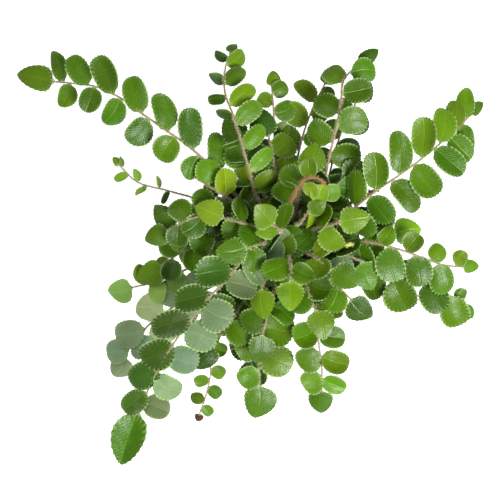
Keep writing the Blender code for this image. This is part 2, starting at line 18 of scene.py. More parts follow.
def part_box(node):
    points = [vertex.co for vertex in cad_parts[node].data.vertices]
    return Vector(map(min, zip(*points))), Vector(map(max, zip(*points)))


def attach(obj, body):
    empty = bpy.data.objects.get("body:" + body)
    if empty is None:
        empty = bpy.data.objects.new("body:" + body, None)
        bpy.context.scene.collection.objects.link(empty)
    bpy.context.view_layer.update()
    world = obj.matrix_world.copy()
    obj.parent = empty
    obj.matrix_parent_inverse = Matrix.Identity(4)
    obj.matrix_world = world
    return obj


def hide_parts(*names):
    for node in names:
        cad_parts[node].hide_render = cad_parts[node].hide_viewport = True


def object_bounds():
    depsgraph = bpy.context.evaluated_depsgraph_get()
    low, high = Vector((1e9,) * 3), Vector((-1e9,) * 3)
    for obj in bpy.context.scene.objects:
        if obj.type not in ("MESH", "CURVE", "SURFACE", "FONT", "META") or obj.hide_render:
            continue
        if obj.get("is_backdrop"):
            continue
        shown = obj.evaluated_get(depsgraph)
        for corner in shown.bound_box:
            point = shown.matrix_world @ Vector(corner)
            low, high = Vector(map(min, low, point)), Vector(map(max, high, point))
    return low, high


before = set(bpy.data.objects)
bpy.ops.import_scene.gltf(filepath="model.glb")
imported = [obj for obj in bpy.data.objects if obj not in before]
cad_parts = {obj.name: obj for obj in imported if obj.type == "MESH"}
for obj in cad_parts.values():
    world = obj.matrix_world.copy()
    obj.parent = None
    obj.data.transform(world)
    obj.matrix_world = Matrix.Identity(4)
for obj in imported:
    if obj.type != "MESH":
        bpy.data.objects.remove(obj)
cad_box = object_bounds()

# Pot
# A thin nursery pot, injection-moulded in black recycled plastic. The wall tapers so that pots stack, the
# deeper rim band keeps them from jamming, and water leaves through drain holes in the floor.
POT_SIDES = 112
POT_WALL = 0.0016
POT_FLOOR = 0.0020
RIM_FOOT = 0.0690
NECK_RADIUS = 0.0445
BASE_RADIUS = 0.0330
RIM_RADIUS = 0.0465
EDGE = 0.0004
FOOT_RING = 0.0270
FOOT_RECESS = 0.0008
DRAIN_HOLES = 4
DRAIN_RADIUS = 0.0035
DRAIN_CIRCLE = 0.0210
DRAIN_SIDES = 24
# How far dust reaches up from the foot and down from the rim, and how much of it lies elsewhere.
LOW_DUST = 0.022
RIM_DUST = 0.006
DUST_ELSEWHERE = 0.16
POT_BLACK = (0.016, 0.017, 0.018, 1)
POT_DUST = (0.110, 0.096, 0.080, 1)
_, pot_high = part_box("pot")
LIP_RADIUS = pot_high.x
POT_HEIGHT = pot_high.z


def select_only(piece):
    bpy.ops.object.select_all(action="DESELECT")
    piece.select_set(True)
    bpy.context.view_layer.objects.active = piece


def added(name):
    """The primitive that was just added, named for its piece and alone in the selection."""
    piece = bpy.context.active_object
    piece.name = piece.data.name = name
    select_only(piece)
    return piece


def edit_all(piece):
    """Goes into a piece's mesh with everything in it selected."""
    select_only(piece)
    bpy.ops.object.mode_set(mode="EDIT")
    bpy.ops.mesh.select_all(action="SELECT")


def smooth(piece, degrees):
    """Smooth shading, apart from edges sharper than this."""
    select_only(piece)
    bpy.ops.object.shade_smooth_by_angle(angle=math.radians(degrees))


def apply_modifiers(piece):
    select_only(piece)
    for modifier in list(piece.modifiers):
        bpy.ops.object.modifier_apply(modifier=modifier.name)


def ring_out(radius, height, last_radius, last_height):
    """Extrudes the selected ring to a new radius and height."""
    bpy.ops.mesh.extrude_region_move(TRANSFORM_OT_translate={"value": (0, 0, height - last_height)})
    share = radius / last_radius
    bpy.ops.transform.resize(value=(share, share, 1), center_override=(0, 0, height))


def inner_radius(height):
    """The inside of the tapered wall, below the rim band."""
    slope = (NECK_RADIUS - BASE_RADIUS) / RIM_FOOT
    return BASE_RADIUS - POT_WALL + slope * height


def fill(tree, node, inputs):
    """Sets or links a node's sockets. Each input is a plain value or the socket that feeds it."""
    for name, value in inputs.items():
        if isinstance(value, bpy.types.NodeSocket):
            tree.links.new(value, node.inputs[name])
        else:
            node.inputs[name].default_value = value


def feed(tree, node, **sockets):
    """Fills sockets that are named with underscores for spaces."""
    fill(tree, node, {name.replace("_", " "): value for name, value in sockets.items()})


def shader(tree, kind, inputs=None, **settings):
    """A shader node with its settings and inputs."""
    node = tree.nodes.new("ShaderNode" + kind)
    for name, value in settings.items():
        setattr(node, name, value)
    fill(tree, node, inputs or {})
    return node


def maths(tree, operation, *values):
    """The result of one step of arithmetic on values and sockets."""
    return shader(tree, "Math", dict(enumerate(values)), operation=operation).outputs[0]


def times(tree, one, other):
    """One value times another."""
    return maths(tree, "MULTIPLY", one, other)


def rising(tree, base, mask, more):
    """A value that is base where a mask is empty, and more by this much where it is full."""
    return maths(tree, "ADD", base, times(tree, mask, more))


def between(tree, value, low, high):
    """0 below low, 1 above high, and smooth between them."""
    inputs = {"Value": value, "From Min": low, "From Max": high}
    return shader(tree, "MapRange", inputs, interpolation_type="SMOOTHSTEP").outputs["Result"]


def mixed(tree, mask, one, other, blend="MIX", share=1.0):
    """Two colours mixed by a mask, which gives the second this share where it is full."""
    if share != 1.0:
        mask = times(tree, mask, share)
    node = shader(tree, "Mix", {0: mask, 6: one, 7: other}, data_type="RGBA", blend_type=blend)
    return node.outputs[2]


def new_group(name, inputs, outputs):
    """An empty shader node group with named number, colour and vector sockets, and its two end nodes."""
    group = bpy.data.node_groups.new(name, "ShaderNodeTree")
    for direction, sockets in (("INPUT", inputs), ("OUTPUT", outputs)):
        for socket_name, kind in sockets.items():
            group.interface.new_socket(socket_name, in_out=direction, socket_type="NodeSocket" + kind)
    start = group.nodes.new("NodeGroupInput")
    end = group.nodes.new("NodeGroupOutput")
    return group, start, end


# Patches of a given size with soft edges, for dust, damp, mottled colour and uneven gloss.
patches, patches_in, patches_out = new_group(
    "patches", {"Vector": "Vector", "Size": "Float", "Amount": "Float"}, {"Mask": "Float", "Height": "Float"}
)
patch_scale = maths(patches, "DIVIDE", 1.0, patches_in.outputs["Size"])
patch_noise = shader(patches, "TexNoise", {
    "Vector": patches_in.outputs["Vector"], "Scale": patch_scale, "Detail": 5.0, "Roughness": 0.6,
})
patch_low = maths(patches, "SUBTRACT", 0.75, times(patches, patches_in.outputs["Amount"], 0.5))
patch_high = maths(patches, "ADD", patch_low, 0.2)
patch_shape = between(patches, patch_noise.outputs["Fac"], patch_low, patch_high)
feed(patches, patches_out, Mask=patch_shape, Height=patch_noise.outputs["Fac"])


def patch_mask(tree, vector, size, amount):
    """The patches group placed in a material: where its patches are, and a height for relief."""
    node = shader(tree, "Group", {"Vector": vector, "Size": size, "Amount": amount}, node_tree=patches)
    return node.outputs["Mask"], node.outputs["Height"]


def relief(tree, height, distance, strength=1.0, normal=None):
    """Small relief from a height, on top of another normal if there is one."""
    inputs = {"Height": height, "Distance": distance, "Strength": strength}
    if normal:
        inputs["Normal"] = normal
    return shader(tree, "Bump", inputs).outputs["Normal"]


def new_material(name):
    """A material with its node tree, its main shader and the object's own coordinates."""
    material = bpy.data.materials.new(name)
    material.use_nodes = True
    tree = material.node_tree
    place = shader(tree, "TexCoord").outputs["Object"]
    return material, tree, tree.nodes["Principled BSDF"], place


def own_tint(tree):
    """The colour that each copy in a piece was given."""
    return shader(tree, "Attribute", attribute_name="tint").outputs["Color"]


outline = [
    (FOOT_RING + EDGE, 0),
    (BASE_RADIUS - 3 * EDGE, 0),
    (BASE_RADIUS - EDGE, EDGE),
    (BASE_RADIUS + EDGE / 2, 4 * EDGE),
    (NECK_RADIUS - EDGE / 2, RIM_FOOT - 2 * EDGE),
    (NECK_RADIUS + EDGE, RIM_FOOT - EDGE),
    (RIM_RADIUS - 2 * EDGE, RIM_FOOT - EDGE / 2),
    (RIM_RADIUS - EDGE / 2, RIM_FOOT),
    (RIM_RADIUS, RIM_FOOT + EDGE),
    (RIM_RADIUS, POT_HEIGHT - 7 * EDGE),
    (RIM_RADIUS + EDGE / 2, POT_HEIGHT - 6 * EDGE),
    (LIP_RADIUS - EDGE / 2, POT_HEIGHT - 5.5 * EDGE),
    (LIP_RADIUS, POT_HEIGHT - 4 * EDGE),
    (LIP_RADIUS, POT_HEIGHT - 2 * EDGE),
    (LIP_RADIUS - EDGE / 2, POT_HEIGHT - EDGE / 2),
    (LIP_RADIUS - 2 * EDGE, POT_HEIGHT),
    (RIM_RADIUS - POT_WALL + EDGE, POT_HEIGHT),
    (RIM_RADIUS - POT_WALL, POT_HEIGHT - EDGE),
    (RIM_RADIUS - POT_WALL, RIM_FOOT + POT_WALL),
    (inner_radius(RIM_FOOT), RIM_FOOT - EDGE),
    (inner_radius(POT_FLOOR), POT_FLOOR),
]
bpy.ops.object.select_all(action="DESELECT")
bpy.ops.mesh.primitive_circle_add(vertices=POT_SIDES, radius=FOOT_RING, location=(0, 0, FOOT_RECESS))
pot = added("pot_moulded")
bpy.ops.object.transform_apply()
edit_all(pot)
last = (FOOT_RING, FOOT_RECESS)
for point in outline:
    ring_out(*point, *last)
    last = point
bpy.ops.mesh.edge_face_add()
bpy.ops.mesh.select_all(action="DESELECT")
bpy.ops.mesh.select_non_manifold()
bpy.ops.mesh.edge_face_add()
bpy.ops.mesh.select_all(action="SELECT")
bpy.ops.mesh.normals_make_consistent(inside=False)
bpy.ops.object.mode_set(mode="OBJECT")

drain_cutters = []
for number in range(DRAIN_HOLES):
    angle = math.tau * number / DRAIN_HOLES
    place = (DRAIN_CIRCLE * math.cos(angle), DRAIN_CIRCLE * math.sin(angle), POT_FLOOR / 2)
    bpy.ops.mesh.primitive_cylinder_add(
        vertices=DRAIN_SIDES, radius=DRAIN_RADIUS, depth=4 * POT_FLOOR, location=place,
    )
    drain_cutters.append(added(f"drain_cutter_{number}"))
for cutter in drain_cutters:
    cut = pot.modifiers.new("drain hole", "BOOLEAN")
    cut.operation = "DIFFERENCE"
    cut.object = cutter
apply_modifiers(pot)
for cutter in drain_cutters:
    bpy.data.objects.remove(cutter, do_unlink=True)
smooth(pot, degrees=38)

pot_plastic, tree, surface, place = new_material("black recycled plastic")
height = shader(tree, "SeparateXYZ", {"Vector": place}).outputs["Z"]
stretched = shader(tree, "Mapping", {"Vector": place, "Scale": (1.0, 1.0, 0.12)}).outputs["Vector"]
dust, _ = patch_mask(tree, place, size=0.010, amount=0.62)
scuffs, scuff_height = patch_mask(tree, stretched, size=0.0012, amount=0.55)
_, grain_height = patch_mask(tree, place, size=0.0004, amount=0.5)
low_dust = between(tree, height, LOW_DUST, 0.0)
rim_dust = between(tree, height, POT_HEIGHT - RIM_DUST, POT_HEIGHT)
dustiest = maths(tree, "MAXIMUM", low_dust, rim_dust)
dusty = times(tree, dust, maths(tree, "MAXIMUM", dustiest, DUST_ELSEWHERE))
scuffed = times(tree, scuffs, 0.05)
colour = mixed(tree, dusty, POT_BLACK, POT_DUST, share=0.55)
colour = mixed(tree, scuffed, colour, (0.30, 0.30, 0.29, 1))
gloss = maths(tree, "ADD", rising(tree, 0.40, dusty, 0.35), scuffed)
normal = relief(tree, grain_height, 0.00006, 0.5)
normal = relief(tree, scuff_height, 0.00004, 0.5, normal)
feed(tree, surface, Base_Color=colour, Roughness=gloss, Normal=normal)
pot.data.materials.append(pot_plastic)
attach(pot, "root")
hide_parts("pot")

# Soil
# Moist potting mix of black peat, bark crumbs and a few grains of white perlite, pressed in by hand a
# little below the rim and slightly higher round the plant. The stalks come up through it.
SOIL_SIDES = 112
SOIL_EDGE = 0.0685
SOIL_TOP = 0.0720
SOIL_SLOPE = 0.0080
CLEARANCE = 0.0003
SOIL_RINGS = 26
CLUMP_SIZE = 0.0045
CLUMP_HEIGHT = 0.0009
CRUMBS = 1100
BARK_CHIPS = 60
PERLITE_GRAINS = 46
CRUMB_SIZES = (0.0004, 0.0013)
CHIP_SIZES = (0.0012, 0.0030)
PERLITE_SIZES = (0.0006, 0.0014)
CRUMB_FLATNESS = 0.8
CHIP_FLATNESS = 0.28
PERLITE_FLATNESS = 0.85
# How high and how close the bumps of a crumb and of a chip are, and how each lies on the soil.
CRUMB_SHAPES = 4
CRUMB_BUMPS = (0.45, 1.3)
CHIP_BUMPS = (0.28, 1.1)
CHIP_SEED = 3
GRAIN_LEAN = 0.6
GRAIN_WIDTH = (0.5, 1.0)
GRAIN_HEIGHT = (0.7, 1.0)
GRAIN_PROUD = 0.3
PEAT = (0.014, 0.010, 0.007, 1)
PEAT_DRY = (0.060, 0.040, 0.026, 1)
BARK = (0.085, 0.045, 0.022, 1)
BARK_PALE = (0.190, 0.120, 0.070, 1)
PERLITE = (0.72, 0.71, 0.67, 1)


def soil_height(x, y):
    """The top of the soil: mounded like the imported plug, with clumps of peat on it."""
    rim = inner_radius(SOIL_EDGE) - CLEARANCE
    share = min(1.0, max(0.0, (rim - math.hypot(x, y)) / SOIL_SLOPE))
    clumps = noise.noise(Vector((x, y, 0)) / CLUMP_SIZE)
    clumps += 0.5 * noise.noise(Vector((x, y, 1)) / (CLUMP_SIZE / 2.5))
    return SOIL_EDGE + (SOIL_TOP - SOIL_EDGE) * share + CLUMP_HEIGHT * (clumps - 0.5)


def model_arrays(piece):
    """The corners, faces, texture places and materials of a model, which is removed, to lay out copies."""
    mesh = piece.data
    points = np.array([vertex.co for vertex in mesh.vertices])
    faces = [tuple(face.vertices) for face in mesh.polygons]
    slots = [face.material_index for face in mesh.polygons]
    places = [tuple(item.uv) for item in mesh.uv_layers.active.data] if mesh.uv_layers.active else None
    bpy.data.objects.remove(piece, do_unlink=True)
    return points, faces, slots, places


def laid_out(name, copies, materials):
    """One piece made of copies. Each copy is a model's arrays, its matrix and its tint."""
    points, faces, slots, places, tints = [], [], [], [], []
    count = 0
    for (model_points, model_faces, model_slots, model_places), matrix, tint in copies:
        turn = np.array(matrix.to_3x3())
        points.append(model_points @ turn.T + np.array(matrix.translation))
        faces += [tuple(corner + count for corner in face) for face in model_faces]
        slots += model_slots
        places += model_places or [(0.5, 0.5)] * sum(len(face) for face in model_faces)
        tints.append(np.tile((*tint, 1.0), (len(model_points), 1)))
        count += len(model_points)
    mesh = bpy.data.meshes.new(name)
    mesh.from_pydata(np.concatenate(points).tolist(), [], faces)
    mesh.uv_layers.new(name="UVMap")
    mesh.uv_layers.active.data.foreach_set("uv", np.array(places, dtype=np.float32).ravel())
    mesh.attributes.new("tint", "FLOAT_COLOR", "POINT")
    mesh.attributes["tint"].data.foreach_set("color", np.concatenate(tints).astype(np.float32).ravel())
    for material in materials:
        mesh.materials.append(material)
    mesh.polygons.foreach_set("material_index", slots)
    piece = bpy.data.objects.new(name, mesh)
    bpy.context.scene.collection.objects.link(piece)
    return piece


bpy.ops.object.select_all(action="DESELECT")
soil_bottom = POT_FLOOR + CLEARANCE
bpy.ops.mesh.primitive_cone_add(
    vertices=SOIL_SIDES, radius1=inner_radius(soil_bottom) - CLEARANCE,
    radius2=inner_radius(SOIL_EDGE) - CLEARANCE, depth=SOIL_EDGE - soil_bottom,
    location=(0, 0, (SOIL_EDGE + soil_bottom) / 2), end_fill_type="NGON",
)
soil = added("soil_mix")
bpy.ops.object.transform_apply()
bpy.ops.object.mode_set(mode="EDIT")
bpy.ops.mesh.select_mode(type="FACE")
bpy.ops.mesh.select_all(action="DESELECT")
bpy.ops.object.mode_set(mode="OBJECT")
for face in soil.data.polygons:
    face.select = face.normal.z > 0.9
bpy.ops.object.mode_set(mode="EDIT")
for _ in range(SOIL_RINGS):
    bpy.ops.mesh.inset(thickness=(inner_radius(SOIL_EDGE) - CLEARANCE) / (SOIL_RINGS + 1))
bpy.ops.mesh.poke()
bpy.ops.object.mode_set(mode="OBJECT")
for vertex in soil.data.vertices:
    if vertex.co.z > SOIL_EDGE - CLEARANCE:
        vertex.co.z = soil_height(vertex.co.x, vertex.co.y)
smooth(soil, degrees=60)

peat, tree, surface, place = new_material("moist peat")
damp, _ = patch_mask(tree, place, size=0.006, amount=0.55)
fibre, fibre_height = patch_mask(tree, place, size=0.0009, amount=0.6)
specks = shader(tree, "TexVoronoi", {"Vector": place, "Scale": 900.0}).outputs["Distance"]
colour = mixed(tree, damp, PEAT, PEAT_DRY, share=0.5)
colour = mixed(tree, fibre, colour, PEAT_DRY, share=0.35)
normal = relief(tree, fibre_height, 0.0006, 0.9)
normal = relief(tree, specks, 0.0004, 0.7, normal)
feed(tree, surface, Base_Color=colour, Roughness=rising(tree, 0.78, damp, 0.18), Normal=normal)
soil.data.materials.append(peat)
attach(soil, "root")
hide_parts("soil")

bark, tree, surface, place = new_material("bark crumbs")
woody, woody_height = patch_mask(tree, place, size=0.0012, amount=0.55)
tint = own_tint(tree)
paler = mixed(tree, 1.0, tint, (1.9, 1.7, 1.5, 1), "MULTIPLY")
colour = mixed(tree, woody, tint, paler, share=0.4)
feed(tree, surface, Base_Color=colour, Roughness=0.86, Normal=relief(tree, woody_height, 0.0003, 0.8))

perlite, tree, surface, place = new_material("perlite")
pores = shader(tree, "TexVoronoi", {"Vector": place, "Scale": 2600.0}).outputs["Distance"]
stained, _ = patch_mask(tree, place, size=0.0015, amount=0.5)
colour = mixed(tree, stained, PERLITE, (0.34, 0.29, 0.22, 1), share=0.45)
feed(tree, surface, Base_Color=colour, Roughness=0.8, Normal=relief(tree, pores, 0.0003, 0.8))

crumb_models = []
for number in range(CRUMB_SHAPES):
    bpy.ops.mesh.primitive_ico_sphere_add(subdivisions=2, radius=1)
    crumb = added(f"crumb_{number}")
    for vertex in crumb.data.vertices:
        shift = Vector((0, 0, 7 * number))
        vertex.co *= 1 + CRUMB_BUMPS[0] * noise.noise(vertex.co * CRUMB_BUMPS[1] + shift)
    crumb_models.append(model_arrays(crumb))
bpy.ops.mesh.primitive_cube_add(size=2)
chip = added("chip")
edit_all(chip)
bpy.ops.mesh.subdivide(number_cuts=2)
bpy.ops.object.mode_set(mode="OBJECT")
# Without a seed, noise_vector is offset by the clock and makes another chip in each run.
noise.seed_set(CHIP_SEED)
for vertex in chip.data.vertices:
    vertex.co += CHIP_BUMPS[0] * noise.noise_vector(vertex.co * CHIP_BUMPS[1])
chip_model = model_arrays(chip)


def strewn(draw, models, count, sizes, flatness, colours):
    """Copies that lie at random on the soil, sunk a little into it."""
    copies = []
    for _ in range(count):
        reach = (inner_radius(SOIL_EDGE) - 3 * CLEARANCE - sizes[1]) * math.sqrt(draw.random())
        angle = draw.uniform(0, math.tau)
        x, y = reach * math.cos(angle), reach * math.sin(angle)
        size = draw.uniform(*sizes)
        spin = Matrix.Rotation(draw.uniform(0, math.tau), 4, "Z")
        lie = spin @ Matrix.Rotation(draw.uniform(-GRAIN_LEAN, GRAIN_LEAN), 4, "X")
        wide = draw.uniform(*GRAIN_WIDTH)
        high = draw.uniform(*GRAIN_HEIGHT)
        stretch = Matrix.Diagonal((size, size * wide, size * flatness * high, 1))
        place = Matrix.Translation((x, y, soil_height(x, y) + GRAIN_PROUD * size * flatness))
        matrix = place @ lie @ stretch
        copies.append((draw.choice(models), matrix, draw.choice(colours)[:3]))
    return copies


soil_draw = random.Random(3)
crumb_colours = [PEAT, PEAT, PEAT_DRY, BARK]
crumb_copies = strewn(soil_draw, crumb_models, CRUMBS, CRUMB_SIZES, CRUMB_FLATNESS, crumb_colours)
chip_colours = [BARK, BARK_PALE, PEAT_DRY]
crumb_copies += strewn(soil_draw, [chip_model], BARK_CHIPS, CHIP_SIZES, CHIP_FLATNESS, chip_colours)
crumbs = laid_out("soil_bark_crumbs", crumb_copies, [bark])
grain_copies = strewn(soil_draw, crumb_models, PERLITE_GRAINS, PERLITE_SIZES, PERLITE_FLATNESS, [PERLITE])
grains = laid_out("soil_perlite", grain_copies, [perlite])
for piece in (crumbs, grains):
    smooth(piece, degrees=50)
    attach(piece, "root")

# How the plant stands
# The stalks rise from a short rootstock under the soil, straight up and then out in arches. The long fronds
# are known one by one, and shorter ones fill the middle in a spiral. Stalks are turned, and leaflets turned,
# tilted, shrunk or left off, where they would cross another frond; the inward leaflets added last are not.
STEM_HOLE_DEPTH = 0.0080
MERGE = 0.00001
STALK_RADIUS = 0.0009
STALK_TIP_RADIUS = 0.0007
STALK_STEP = 0.0170
STALK_ROOM = 0.0005
COLLAR = 0.0030
FOOT_LEAN = 0.0001
FOOT_DEPTH = SOIL_TOP - STEM_HOLE_DEPTH + CLEARANCE
CURVE_STEPS = 16

# How far a stalk is turned round its foot, in degrees, where it would touch another: the first way that is
# clear.
STALK_TURNS = [0, 3, -3, 6, -6, 9, -9, 12, -12, 16, -16, 20, -20, 26, -26, 34, -34, 44, -44, 60, -60]

LEAFLET_THICKNESS = 0.0007
LEAFLET_SIDES = 8
LEAFLET_FOOT = 0.0012
LEAFLET_FOOT_WIDTH = 0.0016
LEAFLET_ROOM = 0.0003
SMALLEST_LEAFLET = 0.0045
TIP_ROOM = 0.40
FACE_UP = 0.6
FORWARD = (12, 20)
ROLL = 8
TURN_SPREAD = 8
TILT_SPREAD = 9
LIFT_RANGE = (-12, 10)
STEADY = 0.3
STATION_RANGE = (0.98, 1.02)
TIP_LEVEL = 0.5
SIZE_SPREAD = 0.06
SMALLER_AT_ENDS = 0.20

# What is tried in turn on a leaflet that would cross another: its size, and its turn and tilt in degrees.
TURNS = [
    (0, 0), (0, 14), (0, -14), (16, 0), (-16, 0), (16, 14), (-16, -14), (0, 28), (0, -28), (32, 0), (-32, 0),
    (24, -20), (-24, 20), (40, 20), (-40, -20), (0, 42), (0, -42),
]
CHANGES = [(size, turn, tilt) for size in (1.0, 0.88, 0.76, 0.64) for turn, tilt in TURNS]

MIDDLE_FRONDS = 20
MIDDLE_SHIFT = (-0.006, -0.008)
MIDDLE_FOOT_REACH = 0.0135
MIDDLE_REACH = (0.012, 0.062)
MIDDLE_TOP = (0.176, 0.142)
MIDDLE_ROUTE = ((0.35, 0.72), (0.68, 0.97), (1.00, 0.94))
MIDDLE_LEAFLET = (0.0165, 0.0150)
MIDDLE_BARE = 0.036
MIDDLE_STEP = 0.0150
REACH_SPREAD = 0.005
TOP_SPREAD = 0.004
FOOT_SPACING = 0.0042
GOLDEN_ANGLE = math.radians(137.508)

COIL_RADIUS = 0.0036
COIL_TUBE = 0.0010
COIL_PITCH = 0.0026
COIL_TURNS = 1.3
COIL_SIDES = 9
COIL_TWIST = "MINIMUM"

# What most fronds have in common. The next comment says what each value is.
USUAL = dict(offset=0.45, first=1, skew=0)

# The fronds that show one by one, the uppermost first. Each has the foot of its stalk and the points that
# the stalk passes through, the bare length of the stalk, the step from one pair of leaflets to the next and
# how far the second of a pair is set off, which side starts, the length and width of the leaflets on its
# right and left and at its tip, how far those on the right lean forward and those on the left back, in
# degrees, and how far those on each side are rolled, where they stand on edge.
SHOWN_FRONDS = [
    dict(USUAL, foot=(-0.0090, -0.0060), bare=0.082, step=0.0185, skew=36,
         right=(0.0215, 0.0155), left=(0.0185, 0.0160), tip=(0.0330, 0.0200),
         route=[(-0.014, 0.000, 0.135), (-0.020, -0.004, 0.151), (-0.030, -0.018, 0.159),
                (-0.048, -0.037, 0.161), (-0.063, -0.057, 0.156), (-0.075, -0.076, 0.147),
                (-0.088, -0.104, 0.128)]),
    dict(USUAL, foot=(-0.0134, 0.0125), bare=0.078, step=0.0187, offset=0.25, first=-1, skew=28,
         right=(0.0225, 0.0128), left=(0.0160, 0.0135), tip=(0.0245, 0.0150),
         route=[(-0.031, 0.026, 0.128), (-0.050, 0.047, 0.148), (-0.079, 0.068, 0.152),
                (-0.106, 0.086, 0.145), (-0.139, 0.093, 0.126)]),
    dict(USUAL, foot=(0.0170, 0.0070), bare=0.082, step=0.0158, offset=0.35, skew=-18,
         right=(0.0205, 0.0140), left=(0.0225, 0.0128), tip=(0.0110, 0.0070),
         route=[(0.029, 0.010, 0.140), (0.046, 0.024, 0.158), (0.069, 0.040, 0.160),
                (0.087, 0.054, 0.152), (0.109, 0.073, 0.132)]),
    dict(USUAL, foot=(0.0190, -0.0020), bare=0.062, step=0.0170, offset=0.30, first=-1,
         right=(0.0190, 0.0150), left=(0.0120, 0.0105), tip=(0.0110, 0.0080),
         route=[(0.026, -0.003, 0.135), (0.046, -0.002, 0.151), (0.071, -0.009, 0.151),
                (0.092, -0.016, 0.143), (0.104, -0.017, 0.136)]),
    dict(USUAL, foot=(0.0170, -0.0090), bare=0.066, step=0.0180, offset=0.40, skew=20,
         right=(0.0200, 0.0165), left=(0.0110, 0.0095), tip=(0.0110, 0.0080),
         route=[(0.038, -0.014, 0.122), (0.060, -0.023, 0.133), (0.084, -0.027, 0.133),
                (0.094, -0.032, 0.129), (0.105, -0.042, 0.121)]),
    dict(USUAL, foot=(-0.0030, -0.0180), bare=0.060, step=0.0185, offset=0.35,
         right=(0.0140, 0.0140), left=(0.0200, 0.0175), tip=(0.0205, 0.0190),
         route=[(-0.016, -0.024, 0.128), (-0.018, -0.042, 0.135), (-0.017, -0.063, 0.132),
                (-0.016, -0.089, 0.120)]),
    dict(USUAL, foot=(0.0060, -0.0180), bare=0.054, step=0.0154, offset=0.20,
         right=(0.0140, 0.0145), left=(0.0165, 0.0130), tip=(0.0165, 0.0145),
         route=[(0.016, -0.031, 0.130), (0.017, -0.055, 0.140), (0.020, -0.067, 0.136),
                (0.021, -0.092, 0.122)]),
    dict(USUAL, foot=(0.0100, 0.0160), bare=0.070, step=0.0185,
         right=(0.0165, 0.0140), left=(0.0150, 0.0135), tip=(0.0150, 0.0090),
         route=[(0.021, 0.030, 0.134), (0.024, 0.048, 0.150), (0.030, 0.074, 0.152),
                (0.033, 0.093, 0.143), (0.043, 0.102, 0.136)]),
    dict(USUAL, foot=(-0.0090, 0.0165), bare=0.072, step=0.0135, offset=0.40, skew=8, roll=(0, 62),
         right=(0.0175, 0.0095), left=(0.0100, 0.0095), tip=(0.0085, 0.0065),
         route=[(-0.018, 0.024, 0.132), (-0.022, 0.038, 0.150), (-0.030, 0.066, 0.156),
                (-0.037, 0.089, 0.148), (-0.033, 0.110, 0.132)]),
    dict(USUAL, foot=(-0.0140, -0.0160), bare=0.050, step=0.0160, skew=25,
         right=(0.0175, 0.0160), left=(0.0150, 0.0150), tip=(0.0155, 0.0140),
         route=[(-0.050, -0.032, 0.104), (-0.075, -0.046, 0.114), (-0.090, -0.060, 0.111),
                (-0.099, -0.073, 0.103)]),
    dict(USUAL, foot=(0.0035, 0.0185), bare=0.056, step=0.0150, first=-1,
         right=(0.0105, 0.0090), left=(0.0165, 0.0115), tip=(0.0115, 0.0095),
         route=[(0.006, 0.043, 0.125), (0.008, 0.056, 0.135), (0.015, 0.076, 0.135),
                (0.023, 0.092, 0.128)]),
    dict(USUAL, foot=(-0.0030, 0.0185), bare=0.062, step=0.0140,
         right=(0.0120, 0.0100), left=(0.0105, 0.0090), tip=(0.0095, 0.0080),
         route=[(-0.007, 0.056, 0.130), (-0.008, 0.070, 0.141), (-0.008, 0.082, 0.139),
                (-0.009, 0.090, 0.134)]),
    dict(USUAL, foot=(0.0135, 0.0120), bare=0.060, step=0.0150,
         right=(0.0140, 0.0115), left=(0.0120, 0.0105), tip=(0.0175, 0.0150),
         route=[(0.026, 0.038, 0.122), (0.030, 0.058, 0.130), (0.036, 0.071, 0.130),
                (0.042, 0.082, 0.126)]),
    dict(USUAL, foot=(-0.0190, 0.0010), bare=0.056, step=0.0140,
         right=(0.0145, 0.0130), left=(0.0145, 0.0130), tip=(0.0145, 0.0125),
         route=[(-0.030, 0.013, 0.135), (-0.045, 0.014, 0.150), (-0.056, 0.011, 0.152),
                (-0.070, 0.004, 0.145)]),
    dict(USUAL, foot=(-0.0200, -0.0050), bare=0.046, step=0.0150,
         right=(0.0140, 0.0125), left=(0.0140, 0.0125), tip=(0.0165, 0.0145),
         route=[(-0.043, -0.001, 0.118), (-0.060, -0.007, 0.128), (-0.075, -0.017, 0.122)]),
    dict(USUAL, foot=(-0.0180, -0.0110), bare=0.048, step=0.0150, first=-1,
         right=(0.0130, 0.0110), left=(0.0130, 0.0110), tip=(0.0165, 0.0145),
         route=[(-0.052, -0.015, 0.105), (-0.073, -0.025, 0.116), (-0.087, -0.028, 0.115),
                (-0.094, -0.030, 0.111)]),
    dict(USUAL, foot=(-0.0085, -0.0190), bare=0.060, step=0.0140,
         right=(0.0095, 0.0078), left=(0.0095, 0.0078), tip=(0.0065, 0.0055),
         route=[(-0.036, -0.040, 0.108), (-0.045, -0.064, 0.118), (-0.046, -0.086, 0.112),
                (-0.053, -0.109, 0.098)]),
    dict(USUAL, foot=(-0.0170, 0.0070), bare=0.086, step=0.0140, first=-1, roll=(45, 45),
         right=(0.0075, 0.0055), left=(0.0090, 0.0060), tip=(0.0065, 0.0050),
         route=[(-0.043, 0.020, 0.118), (-0.066, 0.027, 0.130), (-0.088, 0.033, 0.130),
                (-0.100, 0.044, 0.124)]),
    dict(USUAL, foot=(-0.0040, 0.0075), bare=0.104, step=0.0150,
         right=(0.0110, 0.0095), left=(0.0110, 0.0095), tip=(0.0130, 0.0115),
         route=[(-0.003, 0.010, 0.128), (0.001, 0.020, 0.154), (0.008, 0.030, 0.169),
                (0.016, 0.037, 0.174), (0.020, 0.029, 0.167), (0.016, 0.017, 0.157)]),
    dict(USUAL, foot=(0.0015, -0.0135), bare=0.044, step=0.0150,
         right=(0.0155, 0.0145), left=(0.0155, 0.0145), tip=(0.0160, 0.0150),
         route=[(-0.016, -0.034, 0.105), (-0.026, -0.054, 0.115), (-0.029, -0.070, 0.109)]),
]

